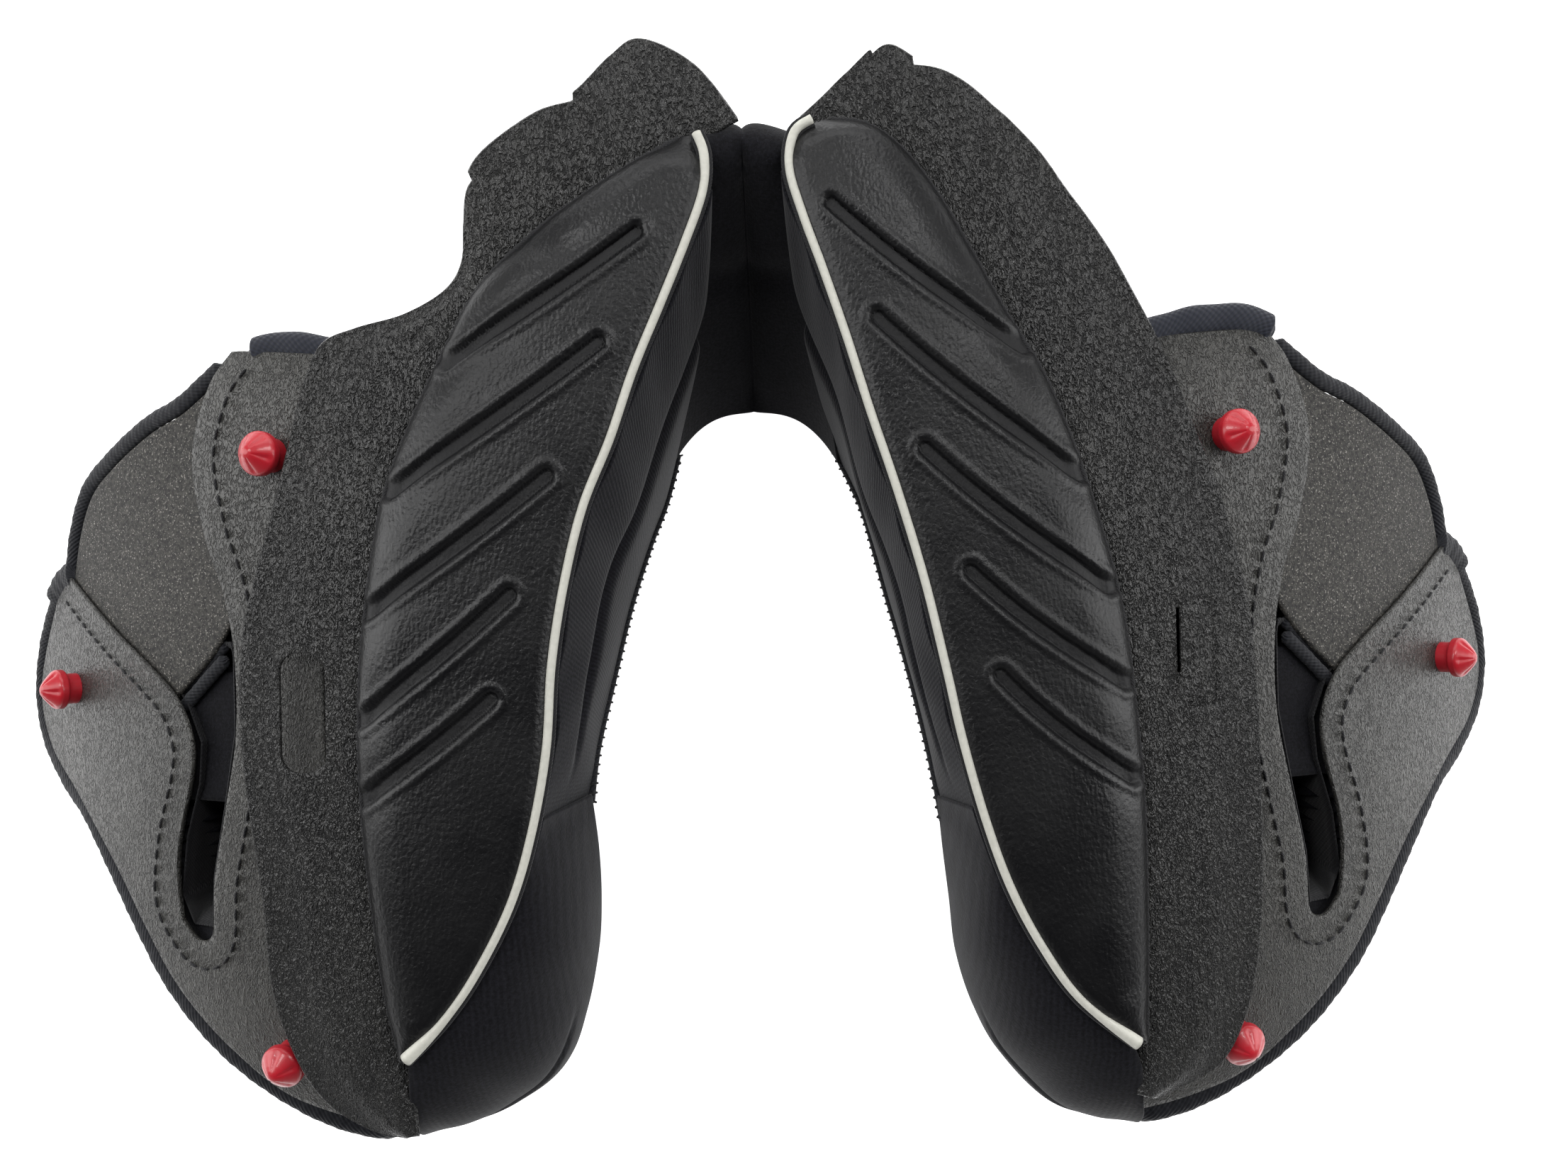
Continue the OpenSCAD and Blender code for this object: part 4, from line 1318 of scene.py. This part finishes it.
def lobe_face(side, rows=230, columns=70):
    """From a flat wall to a quarter ellipse that goes out and down from the roll's edge."""
    top, low = (even(curve(lines[side], 500), rows) for lines in (LOBE_TOP, LOBE_LOW))
    t = np.linspace(0, 1, columns)[None, :, None]
    round_part = smooth(np.linspace(0, 1, rows) / 0.3)[:, None, None] * 0.85
    out = t * (1 - round_part) + np.sin(t * np.pi / 2) * round_part
    fall = t * (1 - round_part) + (1 - np.cos(t * np.pi / 2)) * round_part
    flat = top[:, None, :2] * (1 - out) + low[:, None, :2] * out
    z = top[:, None, 2:] * (1 - fall) + low[:, None, 2:] * fall
    face = np.concatenate([flat, z], -1)
    n = normals(face)
    n = n * np.sign(n[..., 2:].mean())
    s, v = shares(rows, columns)
    gap = (v - 0.80) * 30
    band = 0.5 * smooth(gap / 0.8) * smooth((s - 0.55) / 0.1)
    band = band - 0.6 * bell(gap, 0.7) * smooth((s - 0.5) / 0.1)
    ends = smooth(s / 0.1) * smooth((1 - s) / 0.1)
    return face + n * (band + 0.5 * np.sin(s * 23) * np.sin(np.pi * v) * ends)[..., None]


for side in SIDES:
    face = lobe_face(side)
    piece = sheet_of(f"lobe_knit_{side}", face, WALL_THICK, side)
    dress(piece, lobe_knit, f"{side}_pad", [f"lobe_cover_{side}"])

# %% [markdown]
# ## Neck
# Behind the neck a knit wall closes the rear of each roll, and a folded roll joins the two
# pads. That roll is one closed pad: its front face is hollow, its rear face follows the
# collar, and a sharp fold runs down the middle of both.

# %% Rear walls
NECK_BACK_TOP = [[18, 113, 82], [27, 109, 82], [36, 103, 82], [44.5, 96.5, 82], [52, 88, 82]]
NECK_BACK_MIDDLE = [[25, 106, 57.4], [32, 102.5, 57.4], [39, 98, 57.4], [47, 91.8, 57.4], [55, 85, 57.4]]
NECK_BACK_LOW = [[44.5, 59.5, 18], [46.5, 56.5, 19], [48.5, 53.5, 20], [50, 50, 21.5], [51.5, 46.5, 23]]


def back_face(rows=90, columns=60):
    """Quadratic through three matched lines; the free end curls in, and its corner is round."""
    lines = (NECK_BACK_TOP, NECK_BACK_MIDDLE, NECK_BACK_LOW)
    a, b, c = (curve(line, rows)[:, None] for line in lines)
    end = smooth((np.linspace(0, 1, rows) - 0.45) / 0.55)[:, None, None]
    t = np.linspace(0, 1, columns)[None, :, None] * (1 - 0.14 * end)
    k = 0.38
    face = a * (1 - t / k) * (1 - t) + b * (t * (1 - t)) / (k * (1 - k)) + c * t * (t - k) / (1 - k)
    curl = end**1.6 * (4 + 12 * smooth((t - 0.15) / 0.25) * (1 - 0.55 * smooth((t - 0.5) / 0.4)))
    return face - np.array([0.62, 0.78, 0]) * curl


for side in SIDES:
    face = back_face()
    piece = sheet_of(f"neck_wall_{side}", face, WALL_THICK, side)
    dress(piece, plain_knit, f"{side}_pad", [f"neck_back_{side}"])

# %% Neck roll
FRONT_MIDDLE = [[0, 102.5, 84], [0, 82, 50], [0, 53.5, 15]]
FRONT_SIDE = [[10, 105, 86], [17, 77.5, 57.5], [25, 37.5, 18]]
REAR_MIDDLE = [[0, 116.5, 81], [0, 107.5, 50], [0, 79.5, 16]]
REAR_SIDE = [[15, 111.5, 82], [21.3, 101, 57.8], [39.5, 57, 18]]


def neck_side(middle, edge, power, rows=130, columns=121):
    """Face across the neck: the side lines mirrored, and y falls off by a power of x."""
    a, b = curve(middle, rows), curve(edge, rows)
    t = np.linspace(-1, 1, columns)[None]
    bow = np.abs(t) ** power
    x = b[:, :1] * t
    y = a[:, 1:2] * (1 - bow) + b[:, 1:2] * bow
    z = a[:, 2:] * (1 - np.abs(t)) + b[:, 2:] * np.abs(t)
    return np.stack([x, y, z], -1)


front = neck_side(FRONT_MIDDLE, FRONT_SIDE, 2.8)
rear = neck_side(REAR_MIDDLE, REAR_SIDE, 1.4)
v = np.linspace(0, 1, len(front))[:, None]
fold = np.exp(-np.abs(front[..., 0]) / 2.2) * smooth((1 - v) / 0.15 + 0.25)
front[..., 1] += 3.6 * fold
rear[..., 1] -= 2.2 * np.exp(-np.abs(rear[..., 0]) / 2.0)
front[..., 1] += 1.3 * bell(v - 0.46, 0.06)
front[..., 2] -= 2.4 * np.exp(-np.abs(front[..., 0]) / 2.0) * (1 - smooth(v / 0.1))
layers = np.linspace(0, 1, 25)[None, :, None, None]
blocks = front[:, None] * (1 - layers) + rear[:, None] * layers
swell = 4 * layers * (1 - layers)
blocks[..., 2] += 3.0 * (1 - smooth(v / 0.12))[:, None] * swell[..., 0]
blocks[..., 2] -= 3.0 * (1 - smooth((1 - v) / 0.10))[:, None] * swell[..., 0]
border = [blocks[:, 0], blocks[-1, 1:-1], blocks[::-1, -1], blocks[0, -2:0:-1]]
neck = ring_body("neck_roll", np.concatenate(border, axis=0).transpose(1, 0, 2))
nodes = [f"{word}_{side}" for word in ("neck_pad", "neck_bridge") for side in SIDES]
dress(neck, plain_knit, None, nodes)
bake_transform(neck)
print(neck.name, len(neck.data.polygons), "faces")

# %% [markdown]
# A rolled knit seam closes the join between each rear wall and the neck roll.

# %% Neck joins
NECK_JOIN = [[16.5, 112.4, 82.5], [18.7, 110.7, 72], [23.1, 103.7, 57.6], [29.8, 89, 42],
             [37.7, 69.6, 26], [41.4, 59.4, 19.4]]

for side in SIDES:
    path = even(curve(NECK_JOIN, 300), 120)
    swell = 0.55 + 0.45 * np.sin(np.linspace(0, np.pi, 120)) ** 0.7
    piece = sweep(f"neck_join_{side}", path, oval(2.6, 5.0, 24), side, up=(0, 1, 0.2), taper=swell)
    dress(piece, plain_knit, f"{side}_pad")
print("neck joins made")
